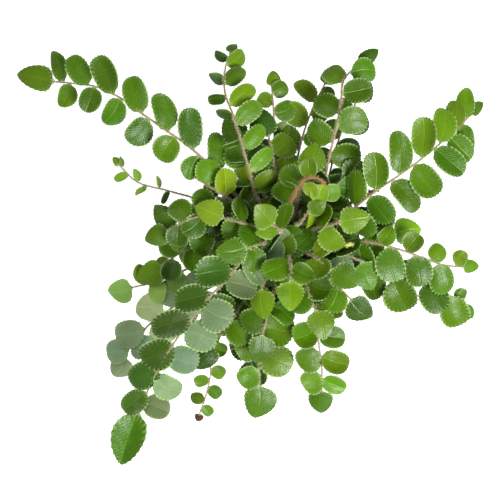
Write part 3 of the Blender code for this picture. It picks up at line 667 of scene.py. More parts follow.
# Young fronds that are still coiled: the foot of the stalk and where its coil sits.
CROZIERS = [
    dict(name="crozier_1", foot=(0.0130, -0.0045), route=[(0.022, -0.005, 0.125), (0.031, -0.004, 0.156)]),
    dict(name="crozier_2", foot=(0.0080, -0.0120), route=[(0.010, -0.022, 0.110), (0.013, -0.034, 0.136)]),
    dict(name="crozier_3", foot=(-0.0140, -0.0020), route=[(-0.032, -0.001, 0.115), (-0.054, -0.003, 0.136)]),
    dict(name="crozier_4", foot=(0.0110, 0.0060), route=[(0.030, 0.014, 0.112), (0.050, 0.022, 0.134)]),
]


def applied(piece):
    """The mesh of a piece after its modifiers."""
    graph = bpy.context.evaluated_depsgraph_get()
    return bpy.data.meshes.new_from_object(piece.evaluated_get(graph))


def even_points(points, count):
    """The same line, as count points that lie evenly along it."""
    gone = [0.0]
    for one, other in zip(points, points[1:]):
        gone.append(gone[-1] + (other - one).length)
    even = []
    span = 0
    for number in range(count):
        distance = gone[-1] * number / (count - 1)
        while span < len(points) - 2 and gone[span + 1] < distance:
            span += 1
        share = (distance - gone[span]) / (gone[span + 1] - gone[span])
        even.append(points[span].lerp(points[span + 1], share))
    return even


def line_length(points):
    return sum((other - one).length for one, other in zip(points, points[1:]))


def line_headings(points):
    """The heading at each point of a line."""
    headings = [(points[1] - points[0]).normalized()]
    headings += [(after - before).normalized() for before, after in zip(points, points[2:])]
    return headings + [(points[-1] - points[-2]).normalized()]


def curved(knots, headings, counts):
    """A fine smooth line through knots, with a count of points for each stretch between two of them."""
    fine = []
    for number, (knot, after) in enumerate(zip(knots, knots[1:])):
        reach = (after - knot).length / 3
        leave = knot + headings[number] * reach
        arrive = after - headings[number + 1] * reach
        fine += interpolate_bezier(knot, leave, arrive, after, counts[number])[:-1]
    return fine + [knots[-1]]


def stalk_line(foot, route):
    """The smooth line that a stalk follows: up out of the soil, then through each point of its route."""
    knots = [Vector((*foot, SOIL_TOP + COLLAR))] + [Vector(point) for point in route]
    headings = [Vector((0, 0, 1))] + line_headings(knots)[1:]
    fine = curved(knots, headings, [CURVE_STEPS] * len(knots))
    spans = max(4, round(line_length(fine) / STALK_STEP))
    toward = (knots[-1] - knots[0]).xy.normalized() * FOOT_LEAN
    return [Vector((*(knots[0].xy - toward), FOOT_DEPTH))] + even_points(fine, spans + 1)


def point_along(points, distance):
    """The place and the heading at a distance along a line. The heading turns smoothly."""
    headings = line_headings(points)
    for number, (one, other) in enumerate(zip(points, points[1:])):
        length = (other - one).length
        if distance <= length:
            share = distance / length
            return one.lerp(other, share), headings[number].lerp(headings[number + 1], share).normalized()
        distance -= length
    return points[-1], headings[-1]


def turned(route, foot, degrees):
    """A route turned round its foot, seen from above."""
    turn = Matrix.Rotation(math.radians(degrees), 3, "Z")
    middle = Vector((*foot, 0))
    return [turn @ (Vector(point) - middle) + middle for point in route]


def tube_curve(name, points, start_radius, end_radius, roundness, twist, room=0.0, tilt=0.0):
    """A tapering tube along a line, with closed ends."""
    curve = bpy.data.curves.new(name, "CURVE")
    curve.dimensions = "3D"
    curve.twist_mode = twist
    curve.bevel_depth = 1
    curve.bevel_resolution = roundness
    curve.use_fill_caps = True
    spline = curve.splines.new("POLY")
    spline.points.add(len(points) - 1)
    for number, (knot, point) in enumerate(zip(spline.points, points)):
        share = number / (len(points) - 1)
        knot.co = (*point, 1)
        knot.radius = start_radius + (end_radius - start_radius) * share + room
        knot.tilt = tilt
    tube = bpy.data.objects.new(name, curve)
    bpy.context.scene.collection.objects.link(tube)
    return tube


def tube_mesh(points, start_radius, end_radius, room=0.0, twist="Z_UP"):
    """A thin four-sided tube along a line, with its ends closed and flat sides to its left and right."""
    holder = tube_curve("tube", points, start_radius, end_radius, 0, twist, room, math.radians(45))
    bpy.context.view_layer.update()
    mesh = applied(holder)
    bpy.data.objects.remove(holder, do_unlink=True)
    shape = bmesh.new()
    shape.from_mesh(mesh)
    bmesh.ops.remove_doubles(shape, verts=shape.verts, dist=MERGE)
    shape.to_mesh(mesh)
    shape.free()
    return mesh


def leaflet_shape(length, width, thickness):
    """A flat, round blade along +Y that narrows to a short foot, as a closed solid."""
    shape = bmesh.new()
    bmesh.ops.create_circle(shape, cap_ends=True, segments=LEAFLET_SIDES, radius=0.5)
    bmesh.ops.rotate(shape, verts=shape.verts, matrix=Matrix.Rotation(math.pi / LEAFLET_SIDES, 3, "Z"))
    reach = math.cos(math.pi / LEAFLET_SIDES)
    for vertex in shape.verts:
        along = 0.5 + vertex.co.y / reach
        at_foot = along < 0.01
        vertex.co.x *= LEAFLET_FOOT_WIDTH if at_foot else width / reach
        vertex.co.y = 0 if at_foot else LEAFLET_FOOT + along * (length - LEAFLET_FOOT)
    blade = bmesh.ops.extrude_face_region(shape, geom=shape.faces[:])["geom"]
    raised = [item for item in blade if isinstance(item, bmesh.types.BMVert)]
    bmesh.ops.translate(shape, verts=raised, vec=(0, 0, thickness))
    bmesh.ops.translate(shape, verts=shape.verts, vec=(0, 0, -thickness / 2))
    bmesh.ops.recalc_face_normals(shape, faces=shape.faces)
    return shape


def leaflet_tree(leaf, room):
    """The space that a leaflet fills, with room on both faces, to test what it would cross."""
    shape = leaflet_shape(leaf["length"] + 2 * room, leaf["width"] + 2 * room, LEAFLET_THICKNESS + 2 * room)
    shape.transform(leaf["place"])
    tree = BVHTree.FromBMesh(shape)
    shape.free()
    return tree


def leaflet_place(point, across, up, turn, tilt, lift):
    """Where a leaflet sits: it points across, turned forward, and is tilted about its own middle line."""
    along = Matrix.Rotation(turn, 3, up) @ across
    hinge = along.cross(up).normalized()
    along = Matrix.Rotation(lift, 3, hinge) @ along
    facing = hinge.cross(along).normalized()
    facing = Matrix.Rotation(tilt, 3, along) @ facing
    sideways = along.cross(facing).normalized()
    place = Matrix.Identity(4)
    for column, axis in enumerate((sideways, along, facing)):
        for row in range(3):
            place[row][column] = axis[row]
    place.translation = point
    return place


def frond_leaflets(frond):
    """Leaflets right and left of the stalk in pairs, the second set off a little, and one at its tip."""
    draw = random.Random(frond["seed"])
    line = frond["line"]
    heading = (line[-1] - line[0]).xy.normalized().to_3d()
    total = line_length(line)
    start = frond["bare"] + STEM_HOLE_DEPTH
    last = total - TIP_ROOM * frond["tip"][1]
    stations = []
    pair = 0
    while start + pair * frond["step"] < last:
        here = start + pair * frond["step"] * draw.uniform(*STATION_RANGE)
        stations.append((here, frond["first"]))
        stations.append((here + frond["offset"] * frond["step"], -frond["first"]))
        pair += 1
    stations = [(total, 0)] + [station for station in stations if station[0] < last]
    leaves = []
    for number, (distance, side) in enumerate(stations):
        point, ahead = point_along(line, distance)
        flat = Vector((ahead.x, ahead.y, 0)) + STEADY * heading
        right = flat.cross(Vector((0, 0, 1))).normalized()
        up = right.cross(ahead).normalized()
        up = (up + Vector((0, 0, FACE_UP))).normalized()
        share = (distance - start) / (total - start)
        if side:
            full = 1 - SMALLER_AT_ENDS * (1 - math.sin(math.pi * (0.15 + 0.85 * share)))
            shape = frond["right"] if side > 0 else frond["left"]
            length, width = (full * draw.uniform(1 - SIZE_SPREAD, 1 + SIZE_SPREAD) * size for size in shape)
            across = right * side
            lean = FORWARD[0] + FORWARD[1] * share + side * frond["skew"]
            turn = side * math.radians(lean + draw.uniform(-TURN_SPREAD, TURN_SPREAD))
        else:
            length, width = frond["tip"]
            across = (ahead - Vector((0, 0, TIP_LEVEL * ahead.z))).normalized()
            point = point - ahead * LEAFLET_FOOT
            turn = math.radians(draw.uniform(-TURN_SPREAD, TURN_SPREAD))
        up = (up - across * up.dot(across)).normalized()
        roll = side * frond.get("roll", (0, 0))[0 if side > 0 else 1]
        tilt = math.radians(draw.gauss(side * ROLL + roll, TILT_SPREAD))
        lift = math.radians(draw.uniform(*LIFT_RANGE))
        place = leaflet_place(point, across, up, turn, tilt, lift)
        leaves.append(dict(place=place, length=length, width=width, number=number, side=side))
    return leaves


def middle_fronds(feet):
    """Shorter fronds in a spiral, tallest in the middle, that fill the plant between the long ones."""
    fronds = []
    for number in range(1, 10 * MIDDLE_FRONDS):
        share = (len(fronds) + 0.5) / MIDDLE_FRONDS
        bearing = number * GOLDEN_ANGLE
        toward = Vector((math.cos(bearing), math.sin(bearing)))
        foot = toward * MIDDLE_FOOT_REACH * math.sqrt(share)
        if share > 1 or any((foot - Vector(other)).length < FOOT_SPACING for other in feet):
            continue
        feet.append(tuple(foot))
        draw = random.Random(number)
        reach = MIDDLE_REACH[0] + (MIDDLE_REACH[1] - MIDDLE_REACH[0]) * share
        top = MIDDLE_TOP[0] + (MIDDLE_TOP[1] - MIDDLE_TOP[0]) * share
        reach += draw.uniform(-REACH_SPREAD, REACH_SPREAD)
        top += draw.uniform(-TOP_SPREAD, TOP_SPREAD)
        shift = Vector(MIDDLE_SHIFT) * share
        route = []
        for out, high in MIDDLE_ROUTE:
            place = foot + (toward * reach + shift) * out
            route.append((place.x, place.y, SOIL_TOP + (top - SOIL_TOP) * high))
        fronds.append(dict(
            USUAL, foot=tuple(foot), route=route, bare=MIDDLE_BARE, step=MIDDLE_STEP,
            first=draw.choice((-1, 1)), right=MIDDLE_LEAFLET, left=MIDDLE_LEAFLET, tip=MIDDLE_LEAFLET,
        ))
    return fronds


def settle_stalks(plants):
    """Each stalk's line, turned a few degrees round its foot where it would touch one that stands already."""
    standing = []
    for frond in plants:
        for degrees in STALK_TURNS:
            route = turned(frond["route"], frond["foot"], degrees)
            coiled = frond in CROZIERS
            line = crozier_line(frond, route) if coiled else stalk_line(frond["foot"], route)
            end = COIL_TUBE if coiled else STALK_TIP_RADIUS
            mesh = tube_mesh(line, STALK_RADIUS, end, STALK_ROOM, COIL_TWIST if coiled else "Z_UP")
            tree = tree_of(mesh)
            if not any(tree.overlap(other) for other in standing):
                break
        else:
            print("no clear way for", frond["name"])
        frond["line"] = line
        frond["tree"] = tree
        standing.append(tree)


def tree_of(mesh):
    shape = bmesh.new()
    shape.from_mesh(mesh)
    tree = BVHTree.FromBMesh(shape)
    shape.free()
    bpy.data.meshes.remove(mesh)
    return tree


def settle_leaflets(fronds, plants):
    """Turns, tilts or shrinks each leaflet until it clears other fronds, or leaves it off."""
    placed = []
    for frond in fronds:
        frond["leaves"] = []
        stalks = [plant["tree"] for plant in plants if plant is not frond]
        for leaf in frond_leaflets(frond):
            spare = found = None
            for size, turn, tilt in CHANGES:
                trial = dict(leaf, length=leaf["length"] * size, width=leaf["width"] * size)
                turning = Matrix.Rotation(math.radians(turn), 4, "Z")
                change = turning @ Matrix.Rotation(math.radians(tilt), 4, "Y")
                trial["place"] = leaf["place"] @ change
                if trial["length"] < SMALLEST_LEAFLET:
                    continue
                centre = trial["place"] @ Vector((0, trial["length"] / 2, 0))
                tree = leaflet_tree(trial, LEAFLET_ROOM)
                reach = trial["length"] / 2 + LEAFLET_FOOT
                near = [other for other in placed if (other[1] - centre).length < other[2] + reach]
                if any(tree.overlap(other[3]) for other in near if other[0] != frond["name"]):
                    continue
                if any(tree.overlap(stalk) for stalk in stalks):
                    continue
                found = (trial, centre, reach, tree)
                if not any(tree.overlap(other[3]) for other in near):
                    break
                spare = spare or found
            else:
                found = spare
            if found:
                frond["leaves"].append(found[0])
                placed.append((frond["name"], *found[1:]))


def crozier_line(crozier, route):
    """A stalk that rises to its coil, and the coil's turns in an upright plane."""
    line = stalk_line(crozier["foot"], route)
    outward = (line[-1] - line[0]).xy.normalized().to_3d()
    top = line[-1]
    centre = top + outward * COIL_RADIUS
    coil = []
    steps = round(COIL_TURNS * COIL_SIDES)
    for number in range(1, steps + 1):
        angle = math.pi - math.tau * COIL_TURNS * number / steps
        radius = COIL_RADIUS - COIL_PITCH * COIL_TURNS * number / steps
        coil.append(centre + outward * radius * math.cos(angle) + Vector((0, 0, radius * math.sin(angle))))
    return line + coil


feet = [plant["foot"] for plant in SHOWN_FRONDS + CROZIERS]
fronds = SHOWN_FRONDS + middle_fronds(feet)
for number, frond in enumerate(fronds, 1):
    frond["name"] = f"frond_{number:02d}"
    frond["seed"] = number
plants = SHOWN_FRONDS + CROZIERS + fronds[len(SHOWN_FRONDS):]
settle_stalks(plants)
settle_leaflets(fronds, plants)

# Leaflets low on the inner stalks point inward and close the middle of the plant.
INNER_FRONDS = 8
INNER_AT = (0.048, 0.062, 0.078)
INNER_LEAFLET = (0.0140, 0.0125)
INNER_TURN = 0.8
INNER_LIFT = (-5, 25)
INNER_TILT = 0.2
inner_draw = random.Random(5)
for frond in fronds[len(SHOWN_FRONDS):len(SHOWN_FRONDS) + INNER_FRONDS]:
    for distance in INNER_AT:
        point, ahead = point_along(frond["line"], distance)
        turn = Matrix.Rotation(inner_draw.uniform(-INNER_TURN, INNER_TURN), 3, "Z")
        inward = (turn @ -point).xy.normalized().to_3d()
        lift = math.radians(inner_draw.uniform(*INNER_LIFT))
        place = leaflet_place(point, inward, Vector((0, 0, 1)), 0, inner_draw.gauss(0, INNER_TILT), lift)
        length, width = INNER_LEAFLET
        frond["leaves"].append(dict(place=place, length=length, width=width, number=0, side=1))

# Leaflets
# Each is one round to oblong blade, thick and leathery, that stands on a short foot on the stalk. Its
# margin is cut into small pale teeth, forked veins run out to them, and it is glossy green above and dull
# and paler below.
BLADE_SIDES = 48
TEETH = BLADE_SIDES / 2
BLADE_RINGS = (0.012, 0.120, 0.190)
BLADE_THICKNESS = 0.034
BLADE_FOOT = 0.06
TOOTH = 0.040
FOOT_HALF_WIDTH = 0.042
SQUARENESS = 2.35
VEIN_PAIRS = 13.0
FULLER = 1.06
VEIN_SLOPE = 0.62
# How a pointed blade starts, ends and narrows, and how a round one bulges.
POINT_WIDTH = 1.16
POINT_END = 1.04
POINT_POWER = 0.42
BULGE = 0.05
FOOT_REACH = 0.2
FOLD_ROUND = 0.03
SPECULAR = 0.34
# A leaflet at the tip whose length is under this many widths has the shape of one at the side.
ROUND_TIP = 1.07
MARGIN_PALE = (0.42, 0.60, 0.22, 1)
UNDERSIDE_PALE = (0.15, 0.25, 0.08)
DRY_TIP = (0.085, 0.028, 0.018)
# Grey and silver are painted sheen: pale colours for the bright studio mirrored in the leaflets.
TONES = {
    "deep": (0.038, 0.092, 0.006),
    "dark": (0.034, 0.092, 0.003),
    "green": (0.060, 0.155, 0.002),
    "fresh": (0.098, 0.215, 0.003),
    "lime": (0.190, 0.345, 0.012),
    "soft": (0.225, 0.390, 0.065),
    "grey": (0.150, 0.240, 0.105),
    "silver": (0.280, 0.420, 0.225),
}
# The tone of a leaflet below each height, how far that height is blurred, how often it is another one, and
# how its light and its warmth vary. The other one is lime, or the pale grey of painted sheen.
TONE_HEIGHTS = (("deep", 0.110), ("dark", 0.132), ("green", 0.156))
TONE_BLUR = 0.012
LIME_SHARE = 0.08
PAINTED_SHEEN_GREY_SHARE = 0.10
LIGHT_RANGE = (0.62, 1.16)
WARM_RANGE = (0.88, 1.22)
# The tones on the right, on the left and at the tip of each frond that shows. The others follow their height.
# The left of the first frond is painted sheen in grey, and all of the tenth is painted sheen in silver.
FROND_TONES = [
    "deep grey green", "green green fresh", "green fresh green", "green fresh fresh", "green green green",
    "fresh fresh green", "fresh fresh green", "green green dark", "fresh dark fresh",
    "silver silver silver", "green fresh green", "fresh fresh fresh", "dark green green",
    "green dark green", "green green fresh", "lime soft soft", "fresh fresh lime", "lime fresh lime",
    "lime fresh lime", "dark green dark",
]
# How a blade is bent: how far its margin curls, how much it folds up along its midrib, how far its tip
# droops, how much its margin waves and how far it sways to one side, each as a share of its length.
BENDS = {
    "domed": (-0.100, 0.00, -0.030, 0.012, 0.03),
    "cupped": (0.130, 0.06, 0.020, 0.016, 0.06),
    "folded": (-0.040, 0.26, -0.050, 0.012, -0.02),
    "drooping": (-0.060, 0.08, -0.150, 0.018, 0.09),
    "wavy": (-0.030, 0.10, -0.040, 0.060, -0.11),
}
SHARP_FOLD = (0.0, 0.42, -0.04, 0.010, 0.04)


def blade_point(x, y, on_margin, tooth, pointed):
    """Where a corner of a round disc goes on the blade, both one unit long and wide."""
    reach = math.hypot(x, y) / 0.5
    if reach > 0:
        across, along = x / (0.5 * reach), y / (0.5 * reach)
        reach /= (abs(across) ** SQUARENESS + abs(along) ** SQUARENESS) ** (1 / SQUARENESS)
        if on_margin and along > -0.8:
            reach *= 1 + (TOOTH if tooth else -TOOTH)
        x, y = 0.5 * reach * across, 0.5 * reach * along
    y = BLADE_FOOT + (0.5 + y) * (1 - BLADE_FOOT)
    if pointed:
        x *= POINT_WIDTH * max(0.0, POINT_END - y) ** POINT_POWER
    else:
        x *= 1 + BULGE * math.sin(math.pi * y)
    if on_margin and abs(x) < FOOT_HALF_WIDTH * 2 and y < FOOT_REACH:
        x = max(-FOOT_HALF_WIDTH, min(FOOT_HALF_WIDTH, x))
        y = 0
    return x, y


def blade_height(x, y, bend):
    curl, fold, droop, wave, _ = bend
    out = math.hypot(2 * x, 2 * y - 1)
    height = curl * out * out + fold * (math.hypot(x, FOLD_ROUND) - FOLD_ROUND) + droop * y * y
    height += wave * out ** 3 * math.sin(3 * math.atan2(y - 0.5, x) + 40 * wave)
    return height * min(1, 4 * y)


def blade_model(name, bend, pointed=False):
    """A blade along +Y, one unit long and wide: a shaped disc with two surfaces."""
    bpy.ops.object.select_all(action="DESELECT")
    bpy.ops.mesh.primitive_circle_add(vertices=BLADE_SIDES, radius=0.5, fill_type="NGON")
    blade = added(name)
    edit_all(blade)
    for width in BLADE_RINGS:
        bpy.ops.mesh.inset(thickness=width)
    bpy.ops.mesh.poke()
    bpy.ops.object.mode_set(mode="OBJECT")
    flat = []
    for vertex in blade.data.vertices:
        x, y = vertex.co.xy
        on_margin = math.hypot(x, y) > 0.5 - BLADE_RINGS[0] / 2
        number = round(math.atan2(y, x) / math.tau * BLADE_SIDES)
        x, y = blade_point(x, y, on_margin, number % 2, pointed)
        flat.append((x + 0.5, y))
        height = blade_height(x, y, bend)
        sway = bend[-1] * (math.sin(math.pi * y) + 1.5 * x * y)
        vertex.co = (x + sway, y, height)
    for corner, place in zip(blade.data.loops, blade.data.uv_layers.active.data):
        place.uv = flat[corner.vertex_index]
    wall = blade.modifiers.new("thickness", "SOLIDIFY")
    wall.thickness = BLADE_THICKNESS
    wall.offset = 0
    wall.material_offset = 1
    apply_modifiers(blade)
    if sum(face.normal.z for face in blade.data.polygons if face.material_index == 0) < 0:
        blade.data.flip_normals()
    return model_arrays(blade)


side_models = [blade_model(f"blade_{name}", bend) for name, bend in BENDS.items()]
tip_models = [blade_model(f"tip_{name}", BENDS[name], pointed=True) for name in ("domed", "drooping")]
folded_tip = blade_model("tip_folded", SHARP_FOLD, pointed=True)

# Veins leave the midrib in pairs, slope forward and end in the teeth. The group also tells how near the
# margin is, and where a pale tick runs out into each tooth.
veins, veins_in, veins_out = new_group(
    "leaf veins", {"Place": "Vector", "Pairs": "Float"},
    {"Lines": "Float", "Midrib": "Float", "Margin": "Float", "Ticks": "Float"},
)
split = shader(veins, "SeparateXYZ", {"Vector": veins_in.outputs["Place"]})
aside = maths(veins, "SUBTRACT", split.outputs["X"], 0.5)
across = maths(veins, "ABSOLUTE", times(veins, aside, 2.0))
along = split.outputs["Y"]
middle = maths(veins, "ABSOLUTE", maths(veins, "SUBTRACT", times(veins, along, 2.0), 1.06))
sloped = times(veins, maths(veins, "POWER", across, 1.25), VEIN_SLOPE / 2)
leaving = maths(veins, "SUBTRACT", along, sloped)
rows = maths(veins, "FRACT", times(veins, leaving, veins_in.outputs["Pairs"]))
fork_pairs = times(veins, veins_in.outputs["Pairs"], 2.0)
forks = maths(veins, "FRACT", times(veins, leaving, fork_pairs))
row_gap = maths(veins, "ABSOLUTE", maths(veins, "SUBTRACT", rows, 0.5))
fork_gap = maths(veins, "ABSOLUTE", maths(veins, "SUBTRACT", forks, 0.5))
row_lines = between(veins, row_gap, 0.20, 0.04)
fork_lines = times(veins, between(veins, fork_gap, 0.26, 0.06), between(veins, across, 0.35, 0.75))
rounded = maths(
    veins, "ADD", maths(veins, "POWER", across, SQUARENESS), maths(veins, "POWER", middle, SQUARENESS)
)
bearing = maths(veins, "ARCTAN2", maths(veins, "SUBTRACT", along, 0.53), aside)
teeth = maths(veins, "FRACT", times(veins, bearing, TEETH / math.tau))
tooth_lines = between(veins, maths(veins, "ABSOLUTE", maths(veins, "SUBTRACT", teeth, 0.5)), 0.28, 0.06)
ticks = times(veins, tooth_lines, between(veins, rounded, 0.40, 0.92))
feed(
    veins, veins_out, Lines=maths(veins, "MAXIMUM", row_lines, fork_lines),
    Midrib=between(veins, across, 0.10, 0.01), Margin=between(veins, rounded, 0.89, 0.99), Ticks=ticks,
)


def vein_masks(tree):
    """The leaf veins group placed in a material, read from the blade's own UV map."""
    place = shader(tree, "UVMap", uv_map="UVMap").outputs["UV"]
    node = shader(tree, "Group", {"Place": place, "Pairs": VEIN_PAIRS}, node_tree=veins)
    return [node.outputs[name] for name in ("Lines", "Midrib", "Margin", "Ticks")]


upper, tree, surface, place = new_material("glossy upper side")
tint = own_tint(tree)
lines, midrib, margin, ticks = vein_masks(tree)
dull = between(tree, shader(tree, "SeparateColor", {"Color": tint}).outputs["Blue"], 0.02, 0.10)
mottle, mottle_height = patch_mask(tree, place, size=0.0030, amount=0.55)
specks, _ = patch_mask(tree, place, size=0.0007, amount=0.35)
colour = mixed(tree, mottle, tint, (0.80, 0.86, 0.70, 1), "MULTIPLY", share=0.45)
paler = mixed(tree, 1.0, colour, (1.55, 1.45, 1.5, 1), "MULTIPLY")
vein_show = rising(tree, 0.16, dull, 0.34)
colour = mixed(tree, lines, colour, paler, share=vein_show)
colour = mixed(tree, midrib, colour, paler, share=0.35)
colour = mixed(tree, specks, colour, paler, share=0.40)
pale = maths(tree, "MAXIMUM", times(tree, margin, 0.70), times(tree, ticks, 0.34))
colour = mixed(tree, pale, colour, MARGIN_PALE)
sunk = maths(tree, "SUBTRACT", 1.0, maths(tree, "MAXIMUM", times(tree, lines, 0.6), midrib))
normal = relief(tree, sunk, 0.00022, 0.75)
normal = relief(tree, mottle_height, 0.0006, 0.55, normal)
gloss = rising(tree, 0.27, mottle, 0.16)
gloss = rising(tree, gloss, dull, 0.20)
feed(
    tree, surface, Base_Color=colour, Roughness=rising(tree, gloss, margin, 0.3), Normal=normal,
    Specular_IOR_Level=SPECULAR,
)

under, tree, surface, place = new_material("dull underside")
tint = own_tint(tree)
lines, midrib, margin, _ = vein_masks(tree)
colour = mixed(tree, 0.55, tint, (*UNDERSIDE_PALE, 1))
paler = mixed(tree, 1.0, colour, (1.5, 1.4, 1.5, 1), "MULTIPLY")
colour = mixed(tree, maths(tree, "MAXIMUM", lines, midrib), colour, paler, share=0.4)
colour = mixed(tree, margin, colour, MARGIN_PALE, share=0.6)
raised = maths(tree, "MAXIMUM", times(tree, lines, 0.5), midrib)
feed(tree, surface, Base_Color=colour, Roughness=0.62, Normal=relief(tree, raised, 0.00025, 0.7))


def toned(draw, frond, leaf):
    """A leaflet's tone, for its frond or its height, varied by chance. Grey and silver are painted sheen."""
    if frond["seed"] <= len(FROND_TONES):
        right, left, tip = FROND_TONES[frond["seed"] - 1].split()
        tone = TONES[tip if leaf["side"] == 0 else right if leaf["side"] > 0 else left]
    else:
        pick = leaf["place"].translation.z + draw.gauss(0, TONE_BLUR)
        tone = TONES[next((name for name, top in TONE_HEIGHTS if pick < top), "fresh")]
        if draw.random() < LIME_SHARE:
            tone = TONES["lime"]
        # A share of the others is given the painted sheen grey at random.
        elif draw.random() < PAINTED_SHEEN_GREY_SHARE:
            tone = TONES["grey"]
    light = draw.uniform(*LIGHT_RANGE)
    warm = draw.uniform(*WARM_RANGE)
    return tone[0] * light * warm, tone[1] * light, tone[2] * light / warm


for frond in fronds:
    draw = random.Random(100 + frond["seed"])
    copies = []
    for leaf in frond["leaves"]:
        if leaf["side"] == 0:
            model = folded_tip if frond["name"] == "frond_01" else draw.choice(tip_models)
            if frond["tip"][0] < ROUND_TIP * frond["tip"][1]:
                model = draw.choice(side_models)
        else:
            model = draw.choice(side_models)
        flip = draw.choice((-1, 1)) if model is not folded_tip else 1
        width, length = (FULLER * leaf[part] for part in ("width", "length"))
        size = Matrix.Diagonal((width * flip, length, (width + length) / 2, 1))
        tint = DRY_TIP if frond["name"] == "frond_17" and leaf["side"] == 0 else toned(draw, frond, leaf)
        copies.append((model, leaf["place"] @ size, tint))
    leaflets = laid_out(frond["name"] + "_leaflets", copies, [upper, under])
    edit_all(leaflets)
    bpy.ops.mesh.normals_make_consistent(inside=False)
    bpy.ops.object.mode_set(mode="OBJECT")
    smooth(leaflets, degrees=45)
    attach(leaflets, "root")
    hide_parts(frond["name"])

# Stalks
# Wiry brown stalks, a little flattened, set all along with fine pale scales and hairs that are densest on
# the young ones. Each is one with its leaflets and comes up out of the soil.
STALK_FOOT_RADIUS = 0.00090
STALK_END_RADIUS = 0.00045
STALK_FINE_STEP = 0.0035
HAIRS_PER_METRE = 8500
HAIR_LENGTH = (0.0007, 0.0020)
HAIR_WIDTH = 0.00019
# How hairs lean towards the tip, how their light varies and how deep they sit in the stalk.
HAIR_LEAN = (-0.2, 0.9)
HAIR_LIGHT = (0.75, 1.25)
HAIR_ROOT = 0.7
# Two young fronds have denser hairs, one of them longer ones too, and two small fronds have slim stalks.
LONG_HAIRS = (0.0010, 0.0026)
YOUNG_HAIRS = 2.2
SLIM = 0.8
STALK_BROWN = (0.250, 0.175, 0.085, 1)
STALK_GREEN = (0.330, 0.310, 0.130, 1)
HAIR_TAN = (0.78, 0.69, 0.47)
HAIR_ORANGE = (0.60, 0.32, 0.14)
YOUNG_FRONDS = {"frond_19": HAIR_ORANGE, "frond_08": HAIR_TAN}


def smooth_line(points, step):
    """A fine smooth line through a stalk's points."""
    lengths = [(other - one).length for one, other in zip(points, points[1:])]
    return curved(points, line_headings(points), [max(2, round(length / step)) + 1 for length in lengths])


def stalk_piece(name, points, start_radius, end_radius, material):
    """A round tapering tube along a line, as a mesh with closed ends."""
    select_only(tube_curve(name, points, start_radius, end_radius, 1, "MINIMUM"))
    bpy.ops.object.convert(target="MESH")
    stalk = bpy.context.active_object
    edit_all(stalk)
    bpy.ops.mesh.remove_doubles(threshold=MERGE)
    bpy.ops.object.mode_set(mode="OBJECT")
    stalk.data.materials.append(material)
    return stalk


def hairs_on(draw, points, start_radius, end_radius, count, lengths, tint):
    """Hairs that stand out of a stalk all round, leaning a little towards its tip."""
    copies = []
    for _ in range(count):
        share = draw.random()
        point, ahead = point_along(points, share * line_length(points))
        out = ahead.orthogonal().normalized()
        out = Matrix.Rotation(draw.uniform(0, math.tau), 3, ahead) @ out
        radius = start_radius + (end_radius - start_radius) * share
        lean = (out + ahead * draw.uniform(*HAIR_LEAN)).normalized()
        length = draw.uniform(*lengths)
        turn = lean.to_track_quat("Z", "Y").to_matrix().to_4x4()
        size = Matrix.Diagonal((HAIR_WIDTH, HAIR_WIDTH, length, 1))
        light = draw.uniform(*HAIR_LIGHT)
        root = Matrix.Translation(point + out * radius * HAIR_ROOT)
        copies.append((hair_model, root @ turn @ size, [light * part for part in tint]))
    return copies


bpy.ops.object.select_all(action="DESELECT")
bpy.ops.mesh.primitive_cone_add(vertices=3, radius1=0.5, radius2=0, depth=1, location=(0, 0, 0.5))
hair = added("hair")
bpy.ops.object.transform_apply()
hair_model = model_arrays(hair)

stalk_skin, tree, surface, place = new_material("wiry brown stalk")
bands, _ = patch_mask(tree, place, size=0.0022, amount=0.55)
fine, fine_height = patch_mask(tree, place, size=0.0006, amount=0.55)
colour = mixed(tree, bands, STALK_BROWN, STALK_GREEN, share=0.45)
colour = mixed(tree, fine, colour, (0.46, 0.38, 0.25, 1), share=0.35)
feed(tree, surface, Base_Color=colour, Roughness=rising(tree, 0.42, fine, 0.2),
     Normal=relief(tree, fine_height, 0.00015, 0.6))

hair_skin, tree, surface, place = new_material("pale hairs")
tint = own_tint(tree)
shade, _ = patch_mask(tree, place, size=0.0030, amount=0.5)
colour = mixed(tree, shade, tint, (0.70, 0.62, 0.55, 1), "MULTIPLY", share=0.4)
feed(tree, surface, Base_Color=colour, Roughness=0.55)

for frond in fronds:
    draw = random.Random(200 + frond["seed"])
    line = smooth_line(frond["line"], STALK_FINE_STEP)
    slim = SLIM if frond["name"] in ("frond_17", "frond_18") else 1.0
    radii = (STALK_FOOT_RADIUS * slim, STALK_END_RADIUS * slim)
    stalk = stalk_piece(frond["name"] + "_stalk", line, *radii, stalk_skin)
    smooth(stalk, degrees=60)
    young = YOUNG_FRONDS.get(frond["name"])
    count = round(line_length(line) * HAIRS_PER_METRE * (YOUNG_HAIRS if young else 1.0))
    lengths = LONG_HAIRS if frond["name"] == "frond_19" else HAIR_LENGTH
    copies = hairs_on(draw, line, *radii, count, lengths, young or HAIR_TAN)
    hairs = laid_out(frond["name"] + "_hairs", copies, [hair_skin])
    for piece in (stalk, hairs):
        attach(piece, "root")

# Croziers
# Young fronds that have not unrolled yet: a soft stalk that ends in a tight coil, yellow green under a coat
# of pale and tan hairs, with the first leaflets showing as small buds along the outside of the coil.
CROZIER_FOOT_RADIUS = 0.00080
CROZIER_COIL_RADIUS = 0.00105
CROZIER_BUDS = 9
BUD_SIZE = (0.0011, 0.0018)
